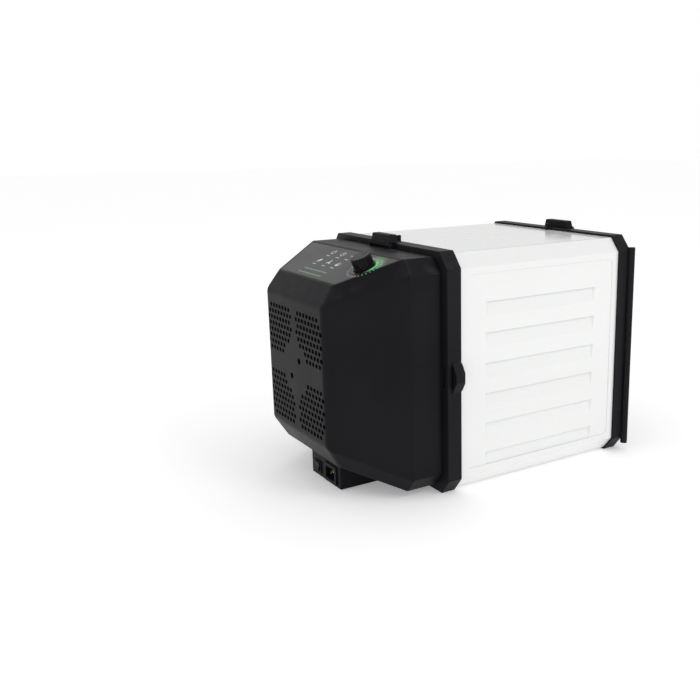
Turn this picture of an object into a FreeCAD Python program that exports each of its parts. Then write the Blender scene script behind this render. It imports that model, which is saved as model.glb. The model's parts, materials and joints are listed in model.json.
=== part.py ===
import FreeCAD, Part
import math
import os

# Food dehydrator: a white box of side, top and bottom panels between two identical black end
# frames, a fan and heater unit hinged on the rear frame, a door hinged on the front frame, six
# sliding trays and a drip tray. Millimetres, +Z up, door towards -Y, fan unit towards +Y, origin
# at the middle of the footprint on the floor.
#
# Anything that belongs to an end is drawn in end axes: Y = 0 is the frame's outer face and +Y
# points out of the cabinet, hinge on the +X side, side latch on the -X side. at_rear and at_front
# put it in place; the front end is the rear end turned half a turn about the vertical.

Vec = FreeCAD.Vector

# ---- overall sizes -------------------------------------------------------------------------
CABINET_WIDTH = 306.0
CABINET_HEIGHT = 320.0
CABINET_LENGTH = 314.0
FAN_UNIT_DEPTH = 139.0
DOOR_DEPTH = 12.0

# ---- end frames ----------------------------------------------------------------------------
FRAME_DEPTH = 20.8
FRAME_CORNER_X = 17.0
FRAME_CORNER_Z = 20.8
SIDE_BAR = 18.6
CROSS_BAR = 15.0
OPENING_CORNER = 7.0
FRAME_WEB = 3.5
FRAME_OUTER_WALL = 2.7
FRAME_INNER_WALL = 2.6
FRAME_EDGE_ROUND = 1.0
FRAME_SCREW_SPREAD = 0.235
FRAME_SCREW_INSET = 9.0
FRAME_SCREW_SHORT = 2.0
LATCH_SLOT_HALF = 4.5
LATCH_SLOT_R = 1.8
LATCH_SLOT_DROP = 5.7

# ---- fasteners -----------------------------------------------------------------------------
SCREW_R = 1.4
SCREW_HEAD_R = 3.0
SCREW_HEAD_T = 1.8
SCREW_CONE_T = 1.6
SCREW_DRIVE_W = 0.8
SCREW_DRIVE_DEPTH = 0.7
BLIND_END = 1.6
SMALL_SCREW_R = 1.1
SMALL_SCREW_GRIP = 6.0
SMALL_HEAD_R = 2.2
SMALL_HEAD_T = 1.4
FIT_CLEAR = 0.05

# ---- cabinet panels ------------------------------------------------------------------------
PANEL_INSET = 3.0
SIDE_WALL = 3.4
TOP_WALL = 2.8
PANEL_END_CLEAR = 0.5
SEAM_HALF_GAP = 0.1
FIELD_DEPTH = 0.8
FIELD_END_MARGIN = 31.0
FIELD_LOW = 31.0
FIELD_TOP_DROP = 31.0
FIELD_ROUND = 9.0
LOUVRE_DEPTH = 3.2
LOUVRE_FALL = 20.0
LOUVRE_HALF_LENGTH = 95.0
LOUVRE_BACK_WALL = 2.4
LEDGE_THICK = 2.4
LEDGE_BEHIND_FRAME = 3.2
LEDGE_OVERLAP = 4.5
GUSSET_COUNT = 5
GUSSET_THICK = 2.0
GUSSET_INSET = 4.0
GUSSET_DROP = 11.0
BOSS_HALF = 5.0
BOSS_LENGTH = 12.0
BOSS_CLEAR = 0.6
BOSS_PAST_SCREW = 3.0
FLOOR_RIB_X = 90.0
FLOOR_RIB_T = 3.0

# ---- trays ---------------------------------------------------------------------------------
TRAY_COUNT = 6
TRAY_FIRST_Z = 48.3
TRAY_LAST_DROP = 67.7
TRAY_SIDE_CLEAR = 2.9
TRAY_FRONT_GAP = 26.0
TRAY_REAR_GAP = 25.0
TRAY_ROUND = 20.0
TRAY_WALL = 2.4
TRAY_RIM_H = 17.0
TRAY_LIP = 1.6
TRAY_LIP_H = 2.2
TRAY_FLOOR_T = 2.0
TRAY_BORDER = 11.0
TRAY_GRID = 12
TRAY_BAR = 3.2
TRAY_CROSS_HALF = 4.0
TRAY_CROSS_H = 4.5
REST_GAP = 0.3

# ---- drip tray -----------------------------------------------------------------------------
DRIP_Z = 16.0
DRIP_HALF = 126.0
DRIP_H = 8.0
DRIP_WALL = 1.6
DRIP_ROUND = 8.0
DRIP_TAB_X = 60.0
DRIP_TAB_W = 16.0
DRIP_TAB_D = 4.0

# ---- hinges --------------------------------------------------------------------------------
HINGE_OUT = 0.6
HINGE_BESIDE = 2.0
KNUCKLE_R = 5.0
HINGE_PIN_R = 1.75
HINGE_PIN_SHORT = 1.0
HINGE_LOW = 12.0
HINGE_TOP_DROP = 17.0
FIXED_KNUCKLE = 41.0
KNUCKLE_GAP = 0.4
SWING_CLEAR = 0.4

# ---- side latches --------------------------------------------------------------------------
TAB_BASE_HALF = 20.5
TAB_TIP_HALF = 5.0
TAB_REACH = 10.0
TAB_CLEAR = 0.4
TAB_IN = 10.4
TAB_FRONT = 6.8
TAB_SKIN = 2.2
TAB_HEEL_CLEAR = 1.2
TAB_ROUND = 1.6
TAB_PIVOT_IN = 19.2
TAB_BARREL_R = 2.3
TAB_BARREL_HALF = 14.8
TAB_PIN_R = 1.0
TAB_PIN_HALF = 13.5
TAB_LUG_HALF = 5.0
TAB_LUG_WALL = 1.1
TAB_LUG_SWING = 3.6
NOSE_T = 1.8
NOSE_HALF = 15.5
NOSE_GAP = 0.3
NOSE_ROOM = 2.0
NOSE_SWING = 2.6
TONGUE_HALF = 12.0
TONGUE_CLEAR = 0.9
BARB_REACH = 2.5
BARB_T = 2.9

# ---- top latches ---------------------------------------------------------------------------
THUMB_BASE_HALF = 26.0
THUMB_TIP_HALF = 22.5
THUMB_LIFT = 0.5
THUMB_H = 10.5
THUMB_IN = 7.0
THUMB_OUT = 4.6
THUMB_WALL = 2.2
THUMB_ROUND = 1.5
THUMB_NECK_T = 4.4
THUMB_PIN_SHORT = 0.6
THUMB_BARREL_R = 3.0
THUMB_PIN_R = 1.2
THUMB_AXIS_OUT = 4.2
THUMB_AXIS_RISE = 4.0
EAR_T = 3.4
EAR_GAP = 0.5
PEG_R = 2.9
PEG_BEHIND = 0.3
PEG_H = 10.0
PEG_ROUND = 1.0
PEG_STEM_R = 1.7

# ---- covers common to both ends ------------------------------------------------------------
COVER_SIDE_INSET = 10.6
COVER_TOP_INSET = 7.0
COVER_BOTTOM = 10.0
COVER_CORNER_X = 16.4
COVER_CORNER_Z = 20.0
COVER_GAP = 0.5
COVER_WALL = 2.6
COVER_ROUND = 2.6
FACE_ROUND = 14.0
RIM_GROOVE_W = 4.3
RIM_GROOVE_DEPTH = 1.6
COVER_RUN_IN = 1.0

# ---- fan unit body -------------------------------------------------------------------------
BASE_DEPTH = 46.0
PANEL_FOOT_BACK = 18.0
PANEL_FOOT_DROP = 31.0
FACE_TOP_DROP = 56.0
FACE_SIDE_INSET = 55.9
FACE_BOTTOM_RISE = 66.0
CHIN_BACK = 18.0
CHIN_RISE = 36.0
PANEL_WALL = 4.2
SEAT_RIM = 7.0
SEAT_T = 2.4
SEAT_CLEAR = 0.3
PLATE_SCREW_SPREAD = 100.0

# ---- intake grille -------------------------------------------------------------------------
GRILLE_ROWS = 8
GRILLE_ROW_PITCH = 8.5
GRILLE_PITCH = 9.3
GRILLE_HOLE_W = 6.4
GRILLE_HOLE_H = 5.8
GRILLE_HOLE_ROUND = 1.8
GRILLE_ARM_X = 9.0
GRILLE_ARM_Z = 17.0
GRILLE_HUB_R = 36.0
GRILLE_MARGIN = 6.5
GRILLE_CORNER = 15.0
HUB_HOLE_R = 4.2
HUB_HOLE_AT = 12.2

# ---- control panel -------------------------------------------------------------------------
OVERLAY_T = 1.5
OVERLAY_EDGE = 3.5
OVERLAY_CLEAR = 0.2
KNOB_X = 83.0
KNOB_Y = 8.0
KNOB_R = 13.2
KNOB_SKIRT_R = 14.6
KNOB_H = 16.0
KNOB_SKIRT_H = 3.0
KNOB_CAP = 4.0
KNOB_ROUND = 1.2
KNOB_FLUTES = 20
KNOB_FLUTE_R = 0.9
KNOB_LINE_W = 1.2
KNOB_LINE_FROM = 3.0
KNOB_LINE_DEPTH = 0.6
KNOB_LIFT_CLEAR = 0.5
RING_IN_R = 15.6
RING_OUT_R = 18.0
RING_RISE = 0.5
RING_T = 1.3
DIAL_SHAFT_R = 3.0
DIAL_BUSH_R = 4.0
DIAL_BUSH_CLEAR = 0.2
ENCODER_HALF = 6.2
ENCODER_DROP = 1.2
ENCODER_FLOOR = 2.0
BOARD_DROP = 14.0
BOARD_T = 1.6
BOARD_X0 = -30.0
BOARD_X1 = 98.0
BOARD_HALF_Y = 19.0
POST_R = 3.0
POST_EDGE = 5.0
RELAY = (-12.0, 6.0, 8.0, 14.0)
TRANSFORMER = (14.0, 38.0, 12.0, 18.0)
CAPACITOR_X = 52.0
CAPACITOR_Y = -6.0
CAPACITOR_R = 6.0
CAPACITOR_H = 16.0

# ---- fan and heater ------------------------------------------------------------------------
FAN_RISE = 2.5
SHROUD_Y = 39.0
SHROUD_T = 2.5
DUCT_R = 84.0
DUCT_WALL = 2.4
DUCT_Y = 10.0
ROTOR_R = 80.0
ROTOR_HUB_R = 18.0
ROTOR_Y0 = 18.0
ROTOR_Y1 = 36.5
ROTOR_CAP = 4.0
BLADES = 7
BLADE_T = 1.8
BLADE_CHORD = 30.0
BLADE_PITCH_DEG = 32.0
MOTOR_R = 31.0
MOTOR_LENGTH = 38.0
MOTOR_HUB_R = 34.0
MOTOR_ROUND = 3.0
MOTOR_SEAM_Y = 12.0
MOTOR_SEAM_W = 2.0
MOTOR_SEAM_DEPTH = 1.0
MOTOR_SCREW_R = 22.0
MOTOR_SCREW_GRIP = 5.0
MOTOR_SCREWS = 4
SPOKES = 4
SPOKE_HALF = 5.0
SHAFT_R = 2.5
SHAFT_END = 58.0
SHAFT_ROOM = 2.0
HEATER_RADII = (38.0, 58.0)
HEATER_TUBE_R = 3.0
HEATER_Y = 12.0
HEATER_BRIDGE_R = 2.4
BRACKET_T = 1.5
BRACKET_HALF = 4.0
BRACKET_HUB_R = 12.0
BRACKET_ARMS = 3
BRACKET_GAP = 0.1
CUTOUT_R = 7.0
CUTOUT_T = 5.0
CUTOUT_FLANGE = (10.0, 0.8, 4.0)
GUARD_T = 2.0
GUARD_RINGS = 7
GUARD_RING_PITCH = 14.0
GUARD_FIRST_R = 18.0
GUARD_SLOT = 7.0
GUARD_FIRST_SLOTS = 6
GUARD_MORE_SLOTS = 3
GUARD_BAR_DEG = 6.0
GUARD_IN = 0.3

# ---- mains inlet ---------------------------------------------------------------------------
HOUSING_X0 = -52.0
HOUSING_X1 = 35.0
HOUSING_Y0 = 46.0
HOUSING_Y1 = 105.0
HOUSING_LIFT = 1.0
HOUSING_WALL = 2.4
HOUSING_ROUND = 2.0
CABLE_WAY_SIDE = 12.0
CABLE_WAY_Y = (15.0, 35.0)
INLET_X = -24.0
INLET_Z = 15.6
INLET_FLANGE = (35.0, 26.0, 2.0)
INLET_BODY = (28.6, 20.4, 17.0)
INLET_RECESS = (25.0, 17.0, 15.0)
INLET_KEY = 3.5
INLET_ROUND = 2.5
INLET_CLEAR = 0.2
INLET_TAIL = 5.0
PIN_W = 2.0
PIN_H = 4.0
PIN_PITCH = 7.0
PIN_RISE = 2.0
PIN_SHORT = 5.0
SWITCH_X = 14.5
SWITCH_Z = 14.5
SWITCH_BEZEL = (19.0, 17.0, 1.6)
SWITCH_MOUTH = (13.0, 13.0)
SWITCH_DEPTH = 14.0
SWITCH_WALL = 1.4
ROCKER_HALF = 5.7
ROCKER_PROUD = 2.2
ROCKER_TILT_DEG = 7.0
ROCKER_PIN_R = 1.2
ROCKER_PIVOT_IN = 4.0
ROCKER_DISH = 1.2
ROCKER_BACK = 2.0
ROCKER_SIDE_CLEAR = 0.4

# ---- door ----------------------------------------------------------------------------------
DOOR_PLATE = 3.0
DOOR_PLATE_IN = 1.0
DOOR_RIM = 24.0
DOOR_REBATE = 6.0
DOOR_REBATE_CLEAR = 0.3
DOOR_ROUND = 1.6
DOOR_VENT_ROWS = 9
DOOR_VENT_W = 34.0
DOOR_VENT_H = 4.0
DOOR_VENT_COLUMNS = 4
DOOR_VENT_PITCH_X = 46.0
DOOR_VENT_PITCH_Z = 22.0

# ---- derived -------------------------------------------------------------------------------
HALF_W = CABINET_WIDTH / 2
HALF_L = CABINET_LENGTH / 2
ROW_SHIFT_Y = (DOOR_DEPTH - FAN_UNIT_DEPTH) / 2
OPENING_HALF = HALF_W - SIDE_BAR
OPENING_TOP = CABINET_HEIGHT - CROSS_BAR
TRAY_HALF = OPENING_HALF - TRAY_SIDE_CLEAR
TRAY_PITCH = (CABINET_HEIGHT - TRAY_LAST_DROP - TRAY_FIRST_Z) / (TRAY_COUNT - 1)
LEDGE_X = TRAY_HALF - LEDGE_OVERLAP
FRAME_SCREW_X = CABINET_WIDTH * FRAME_SCREW_SPREAD
HINGE_X = HALF_W + HINGE_BESIDE
HINGE_TOP = CABINET_HEIGHT - HINGE_TOP_DROP
MID_Z = CABINET_HEIGHT / 2
LEDGE_END = FRAME_DEPTH + LEDGE_BEHIND_FRAME
FAN_Z = MID_Z + FAN_RISE
PANEL_FOOT_OUT = FAN_UNIT_DEPTH - PANEL_FOOT_BACK
CHIN_OUT = FAN_UNIT_DEPTH - CHIN_BACK
COVER_HALF = HALF_W - COVER_SIDE_INSET
COVER_TOP = CABINET_HEIGHT - COVER_TOP_INSET
PANEL_FOOT_Z = COVER_TOP - PANEL_FOOT_DROP
FACE_HALF = COVER_HALF - FACE_SIDE_INSET
FACE_TOP = COVER_TOP - FACE_TOP_DROP
FACE_BOTTOM = COVER_BOTTOM + FACE_BOTTOM_RISE
THUMB_Z = CABINET_HEIGHT + THUMB_LIFT
THUMB_AXIS_Z = COVER_TOP + THUMB_AXIS_RISE
PANEL_RUN = PANEL_FOOT_OUT - BASE_DEPTH
FACE_RUN = FAN_UNIT_DEPTH - BASE_DEPTH
PANEL_HEAD_HALF = COVER_HALF - COVER_CORNER_X
PANEL_FOOT_HALF = PANEL_HEAD_HALF - (
    (PANEL_HEAD_HALF - FACE_HALF) * PANEL_RUN / FACE_RUN
    + COVER_CORNER_X / COVER_CORNER_Z * (FACE_TOP_DROP * PANEL_RUN / FACE_RUN - PANEL_FOOT_DROP)
)
PANEL_SLOPE_LENGTH = math.hypot(PANEL_RUN, PANEL_FOOT_DROP)
FAR = 600.0


# ---- shape helpers -------------------------------------------------------------------------
def box(x0, x1, y0, y1, z0, z1):
    return Part.makeBox(x1 - x0, y1 - y0, z1 - z0, Vec(x0, y0, z0))


def rod(radius, start, direction, length):
    return Part.makeCylinder(radius, length, start, direction)


def polygon(points):
    return Part.makePolygon(points + [points[0]])


def prism_y(outline, y0, y1):
    """Solid between y0 and y1 whose outline is a list of (x, z)."""
    wire = polygon([Vec(x, y0, z) for x, z in outline])
    return Part.Face(wire).extrude(Vec(0, y1 - y0, 0))


def prism_x(outline, x0, x1):
    """Solid between x0 and x1 whose outline is a list of (y, z)."""
    wire = polygon([Vec(x0, y, z) for y, z in outline])
    return Part.Face(wire).extrude(Vec(x1 - x0, 0, 0))


def rounded_wire(x0, x1, y0, y1, r, z):
    """Closed rectangle with round corners in a level plane."""
    c = r * (1 - math.sqrt(0.5))
    edges = [
        Part.makeLine(Vec(x0 + r, y0, z), Vec(x1 - r, y0, z)),
        Part.Arc(Vec(x1 - r, y0, z), Vec(x1 - c, y0 + c, z), Vec(x1, y0 + r, z)).toShape(),
        Part.makeLine(Vec(x1, y0 + r, z), Vec(x1, y1 - r, z)),
        Part.Arc(Vec(x1, y1 - r, z), Vec(x1 - c, y1 - c, z), Vec(x1 - r, y1, z)).toShape(),
        Part.makeLine(Vec(x1 - r, y1, z), Vec(x0 + r, y1, z)),
        Part.Arc(Vec(x0 + r, y1, z), Vec(x0 + c, y1 - c, z), Vec(x0, y1 - r, z)).toShape(),
        Part.makeLine(Vec(x0, y1 - r, z), Vec(x0, y0 + r, z)),
        Part.Arc(Vec(x0, y0 + r, z), Vec(x0 + c, y0 + c, z), Vec(x0 + r, y0, z)).toShape(),
    ]
    return Part.Wire(edges)


def rounded_block(x0, x1, y0, y1, z0, z1, r):
    return Part.Face(rounded_wire(x0, x1, y0, y1, r, z0)).extrude(Vec(0, 0, z1 - z0))


def pierced_face(wires):
    """Flat face inside the first wire with a hole for each of the others."""
    return Part.makeFace(wires, "Part::FaceMakerBullseye")


def fuse_all(shapes):
    return shapes[0].multiFuse(shapes[1:]).removeSplitter()


def octagon(half, low, high, corner_x, corner_z, inset=0.0):
    """Chamfered outline in X and Z, moved inwards by inset on all eight sides."""
    slant = math.hypot(corner_x, corner_z)
    k = corner_z * half + corner_x * (high - corner_z) - inset * slant
    h = half - inset
    top = high - inset
    bottom = low + inset
    x = (k - corner_x * top) / corner_z
    z = (k - corner_z * h) / corner_x
    drop = top - z
    return [
        (-x, bottom), (x, bottom), (h, bottom + drop), (h, z),
        (x, top), (-x, top), (-h, z), (-h, bottom + drop),
    ]


def frame_outline(inset=0.0):
    return octagon(HALF_W, 0.0, CABINET_HEIGHT, FRAME_CORNER_X, FRAME_CORNER_Z, inset)


def cover_outline(inset=0.0):
    return octagon(COVER_HALF, COVER_BOTTOM, COVER_TOP, COVER_CORNER_X, COVER_CORNER_Z, inset)


def opening_outline(grow=0.0):
    return octagon(OPENING_HALF, CROSS_BAR, OPENING_TOP, OPENING_CORNER, OPENING_CORNER, -grow)


def below_plane(shape, point, normal):
    """What is left of shape on the inner side of a plane with this outward normal."""
    cutter = Part.makeBox(FAR, FAR, FAR, Vec(-FAR / 2, -FAR / 2, 0))
    cutter.Placement = FreeCAD.Placement(point, FreeCAD.Rotation(Vec(0, 0, 1), normal))
    return shape.cut(cutter)


def half_turn(shape):
    return shape.copy().rotate(Vec(0, 0, 0), Vec(0, 0, 1), 180)


# ---- placing and writing -------------------------------------------------------------------
def at_rear(shape):
    placed = shape.copy()
    placed.translate(Vec(0, HALF_L, 0))
    return placed


def at_front(shape):
    return half_turn(at_rear(shape))


def write(name, shape):
    placed = shape.copy()
    placed.translate(Vec(0, ROW_SHIFT_Y, 0))
    placed.exportStep(os.path.join("parts", name + ".step"))


# ---- hinge ---------------------------------------------------------------------------------
def knuckle_spans():
    """Heights of the frame's knuckles, and of the cover's knuckles between them."""
    mid_low = (HINGE_LOW + HINGE_TOP - FIXED_KNUCKLE) / 2
    fixed = [
        (HINGE_LOW, HINGE_LOW + FIXED_KNUCKLE),
        (mid_low, mid_low + FIXED_KNUCKLE),
        (HINGE_TOP - FIXED_KNUCKLE, HINGE_TOP),
    ]
    moving = [
        (fixed[0][1] + KNUCKLE_GAP, fixed[1][0] - KNUCKLE_GAP),
        (fixed[1][1] + KNUCKLE_GAP, fixed[2][0] - KNUCKLE_GAP),
    ]
    return fixed, moving


def hinge_rod(radius, z0, z1):
    return rod(radius, Vec(HINGE_X, HINGE_OUT, z0), Vec(0, 0, 1), z1 - z0)


def hinge_pin(grow=0.0):
    z0 = HINGE_LOW + HINGE_PIN_SHORT - grow
    z1 = HINGE_TOP - HINGE_PIN_SHORT + grow
    return hinge_rod(HINGE_PIN_R + grow, z0, z1)


def hinge_bore():
    return hinge_pin(FIT_CLEAR)


def cover_hinge_parts():
    """Knuckles of a cover and the webs that carry them."""
    parts = []
    for z0, z1 in knuckle_spans()[1]:
        parts.append(hinge_rod(KNUCKLE_R, z0, z1))
        parts.append(box(COVER_HALF - COVER_WALL, HINGE_X, COVER_GAP, HINGE_OUT + KNUCKLE_R, z0, z1))
    return parts


# ---- end frame -----------------------------------------------------------------------------
def end_frame():
    outer = prism_y(frame_outline(), -FRAME_DEPTH, 0)
    round_edges = [e for e in outer.Edges if all(abs(v.Point.y) < 1e-6 for v in e.Vertexes)]
    outer = outer.makeFillet(FRAME_EDGE_ROUND, round_edges)
    opening = prism_y(opening_outline(), -FRAME_DEPTH, 0)
    pocket = prism_y(frame_outline(FRAME_OUTER_WALL), -FRAME_DEPTH, -FRAME_WEB)
    pocket = pocket.cut(prism_y(opening_outline(FRAME_INNER_WALL), -FRAME_DEPTH, -FRAME_WEB))
    body = outer.cut(opening).cut(pocket)
    fixed, moving = knuckle_spans()
    body = body.cut(Part.makeCompound(
        [hinge_rod(KNUCKLE_R + SWING_CLEAR, z0 - KNUCKLE_GAP, z1 + KNUCKLE_GAP) for z0, z1 in moving]
    ))
    lug = side_latch_lug()
    body = fuse_all([body, lug] + [hinge_rod(KNUCKLE_R, z0, z1) for z0, z1 in fixed])
    holes = [hinge_bore(), side_latch_bore(), latch_slot(), nose_slit(), tongue_slot()]
    for x, z in frame_screw_spots():
        holes.append(rod(SCREW_R + FIT_CLEAR, Vec(x, -FRAME_WEB, z), Vec(0, 1, 0), FRAME_WEB))
        holes.append(screw_cone(x, 0.0, z, -1, FIT_CLEAR))
    return body.cut(Part.makeCompound(holes))


def frame_screw_spots():
    return [(sx * FRAME_SCREW_X, z) for sx in (-1, 1)
            for z in (FRAME_SCREW_INSET, CABINET_HEIGHT - FRAME_SCREW_INSET)]


def latch_slot():
    """Oval slot through the frame's face under the top latch."""
    z = CABINET_HEIGHT - LATCH_SLOT_DROP
    ends = [rod(LATCH_SLOT_R, Vec(side * LATCH_SLOT_HALF, -FRAME_WEB, z), Vec(0, 1, 0), FRAME_WEB)
            for side in (-1, 1)]
    bar = box(-LATCH_SLOT_HALF, LATCH_SLOT_HALF, -FRAME_WEB, 0, z - LATCH_SLOT_R, z + LATCH_SLOT_R)
    return fuse_all([bar] + ends)


def screw_cone(x, y, z, inwards, grow=0.0):
    """Countersunk head with its flat at y, narrowing in the direction given by inwards."""
    return Part.makeCone(
        SCREW_HEAD_R + grow, SCREW_R + grow, SCREW_CONE_T, Vec(x, y, z), Vec(0, inwards, 0)
    )


def frame_screw(x, z):
    length = FRAME_WEB + BOSS_LENGTH - FRAME_SCREW_SHORT
    shank = rod(SCREW_R, Vec(x, -length, z), Vec(0, 1, 0), length)
    half = SCREW_DRIVE_W / 2
    slot = box(x - SCREW_HEAD_R, x + SCREW_HEAD_R, -SCREW_DRIVE_DEPTH, 0, z - half, z + half)
    return fuse_all([shank, screw_cone(x, 0.0, z, -1)]).cut(slot)


# ---- side latch ----------------------------------------------------------------------------
def side_latch_pivot_x():
    return -(HALF_W + TAB_CLEAR + TAB_BARREL_R)


def side_latch_lug():
    """Eye on the frame's side that the latch pin passes through."""
    x = side_latch_pivot_x()
    z0 = MID_Z - TAB_LUG_HALF
    arm = box(
        x, -HALF_W + TAB_CLEAR, -TAB_PIVOT_IN - TAB_LUG_WALL, -TAB_PIVOT_IN + TAB_LUG_WALL,
        z0, z0 + 2 * TAB_LUG_HALF,
    )
    eye = rod(TAB_PIN_R + TAB_LUG_WALL, Vec(x, -TAB_PIVOT_IN, z0), Vec(0, 0, 1), 2 * TAB_LUG_HALF)
    return fuse_all([arm, eye])


def side_latch_pin(grow=0.0):
    half = TAB_PIN_HALF + grow
    start = Vec(side_latch_pivot_x(), -TAB_PIVOT_IN, MID_Z - half)
    return rod(TAB_PIN_R + grow, start, Vec(0, 0, 1), 2 * half)


def side_latch_bore():
    return side_latch_pin(FIT_CLEAR)


def nose_slit():
    """Upright slit in the frame's side wall that the latch's nose goes through."""
    return box(
        -HALF_W - 1.0, -HALF_W + FRAME_OUTER_WALL + 1.0, -TAB_IN - TONGUE_CLEAR / 2,
        -TAB_IN + NOSE_T + NOSE_SWING, MID_Z - NOSE_HALF - NOSE_ROOM, MID_Z + NOSE_HALF + NOSE_ROOM,
    )


def tongue_slot():
    """Slot in the frame's face that the cover's tongue goes through."""
    half = TONGUE_HALF + TONGUE_CLEAR
    return box(
        -(COVER_HALF + BARB_REACH + TONGUE_CLEAR), -(COVER_HALF - COVER_WALL - TONGUE_CLEAR),
        -FRAME_WEB - 1.0, 1.0, MID_Z - half, MID_Z + half,
    )


def latch_tongue():
    """Barbed strip behind a cover's edge that the side latch's nose holds."""
    tip = -(TAB_IN + NOSE_GAP + BARB_T)
    z0 = MID_Z - TONGUE_HALF
    z1 = MID_Z + TONGUE_HALF
    strip = box(-COVER_HALF, -(COVER_HALF - COVER_WALL), tip, COVER_GAP + COVER_RUN_IN, z0, z1)
    barb = box(-(COVER_HALF + BARB_REACH), -COVER_HALF, tip, tip + BARB_T, z0, z1)
    return fuse_all([strip, barb])


def tab_outline(root, tip, inset):
    """Trapezoid of the tab from its root at the frame's side to its tip, as (x, z)."""
    base, point = TAB_BASE_HALF - inset, TAB_TIP_HALF - inset / 2
    return [(root, MID_Z - base), (root, MID_Z + base), (tip, MID_Z + point), (tip, MID_Z - point)]


def side_latch():
    """Trapezoid tab turning on a pin, with a nose that reaches into the frame behind the barb.

    Its front end is hollow for a fingertip.
    """
    root = -(HALF_W + TAB_CLEAR)
    tip = -(HALF_W + TAB_REACH)
    pivot_x = side_latch_pivot_x()
    body = prism_y(tab_outline(root, tip, 0.0), -FRAME_DEPTH, -TAB_FRONT)
    rounded = [e for e in body.Edges if all(v.Point.x < tip + 0.1 for v in e.Vertexes)]
    body = body.makeFillet(TAB_ROUND, rounded)
    grip = prism_y(tab_outline(root + TAB_SKIN, tip + TAB_SKIN, TAB_SKIN), -TAB_IN, -TAB_FRONT + 1.0)
    heel = box(
        root - TAB_HEEL_CLEAR, root + 1.0, -FRAME_DEPTH - 1.0, -TAB_PIVOT_IN,
        MID_Z - TAB_BASE_HALF, MID_Z + TAB_BASE_HALF,
    )
    body = body.cut(grip).cut(heel)
    barrel_start = Vec(pivot_x, -TAB_PIVOT_IN, MID_Z - TAB_BARREL_HALF)
    barrel = rod(TAB_BARREL_R, barrel_start, Vec(0, 0, 1), 2 * TAB_BARREL_HALF)
    nose = box(
        pivot_x, -(COVER_HALF + NOSE_GAP), -TAB_IN, -TAB_IN + NOSE_T, MID_Z - NOSE_HALF, MID_Z + NOSE_HALF
    )
    room = TAB_LUG_HALF + 1.0
    lug_room = box(
        pivot_x - TAB_LUG_SWING, root + 1.0, -TAB_PIVOT_IN - TAB_LUG_SWING, -TAB_PIVOT_IN + TAB_LUG_SWING,
        MID_Z - room, MID_Z + room,
    )
    return fuse_all([body, barrel, nose]).cut(lug_room).cut(side_latch_bore())


# ---- top latch -----------------------------------------------------------------------------
def top_latch():
    """Trapezoid thumb piece over the frame's top bar, hinged along the cover's top edge."""
    top = THUMB_Z + THUMB_H
    outline = [
        (-THUMB_BASE_HALF, THUMB_Z), (THUMB_BASE_HALF, THUMB_Z),
        (THUMB_TIP_HALF, top), (-THUMB_TIP_HALF, top),
    ]
    body = prism_y(outline, -THUMB_IN, THUMB_OUT)
    rounded = [e for e in body.Edges if all(v.Point.z > top - 0.1 for v in e.Vertexes)]
    body = body.makeFillet(THUMB_ROUND, rounded)
    hollow_half = THUMB_TIP_HALF - THUMB_WALL
    hollow = box(
        -hollow_half, hollow_half, THUMB_WALL - THUMB_IN, THUMB_AXIS_OUT - THUMB_BARREL_R - THUMB_WALL,
        THUMB_Z, top - THUMB_WALL,
    )
    start = Vec(-THUMB_BASE_HALF, THUMB_AXIS_OUT, THUMB_AXIS_Z)
    barrel = rod(THUMB_BARREL_R, start, Vec(1, 0, 0), 2 * THUMB_BASE_HALF)
    neck_y1 = THUMB_AXIS_OUT + THUMB_BARREL_R
    neck = box(
        -THUMB_BASE_HALF, THUMB_BASE_HALF, neck_y1 - THUMB_NECK_T, neck_y1,
        THUMB_AXIS_Z, THUMB_Z + THUMB_ROUND,
    )
    return fuse_all([body, neck, barrel]).cut(hollow).cut(top_latch_bore())


def top_latch_pin(grow=0.0):
    half = THUMB_BASE_HALF + EAR_GAP + EAR_T - THUMB_PIN_SHORT + grow
    start = Vec(-half, THUMB_AXIS_OUT, THUMB_AXIS_Z)
    return rod(THUMB_PIN_R + grow, start, Vec(1, 0, 0), 2 * half)


def top_latch_bore():
    return top_latch_pin(FIT_CLEAR)


def latch_ears():
    ears = []
    for side in (-1, 1):
        inner = THUMB_BASE_HALF + EAR_GAP
        x0, x1 = sorted((side * inner, side * (inner + EAR_T)))
        foot = box(
            x0, x1, COVER_GAP, THUMB_AXIS_OUT + THUMB_BARREL_R, COVER_TOP - COVER_WALL, THUMB_AXIS_Z
        )
        eye = rod(THUMB_BARREL_R, Vec(x0, THUMB_AXIS_OUT, THUMB_AXIS_Z), Vec(1, 0, 0), EAR_T)
        ears += [foot, eye]
    return ears


def catch_peg():
    """Small upright peg in the top panel just behind the frame's top bar."""
    y = -(FRAME_DEPTH + PEG_BEHIND + PEG_R)
    seat = CABINET_HEIGHT - PANEL_INSET
    peg = rod(PEG_R, Vec(0, y, seat), Vec(0, 0, 1), PEG_H)
    rim = [e for e in peg.Edges if e.Closed and abs(e.CenterOfMass.z - seat - PEG_H) < 1e-6]
    peg = peg.makeFillet(PEG_ROUND, rim)
    stem = rod(PEG_STEM_R, Vec(0, y, seat - TOP_WALL), Vec(0, 0, 1), TOP_WALL)
    return fuse_all([peg, stem])


# ---- cabinet panels ------------------------------------------------------------------------
def panel_ring(wall):
    reach = HALF_L - FRAME_WEB - PANEL_END_CLEAR
    outer = prism_y(frame_outline(PANEL_INSET), -reach, reach)
    inner = prism_y(frame_outline(PANEL_INSET + wall), -reach, reach)
    return outer.cut(inner)


def seam_x():
    return frame_outline(PANEL_INSET)[4][0]


def tray_seats():
    """Heights that the trays' runners stand at."""
    return [TRAY_FIRST_Z - REST_GAP + k * TRAY_PITCH for k in range(TRAY_COUNT)]


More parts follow.
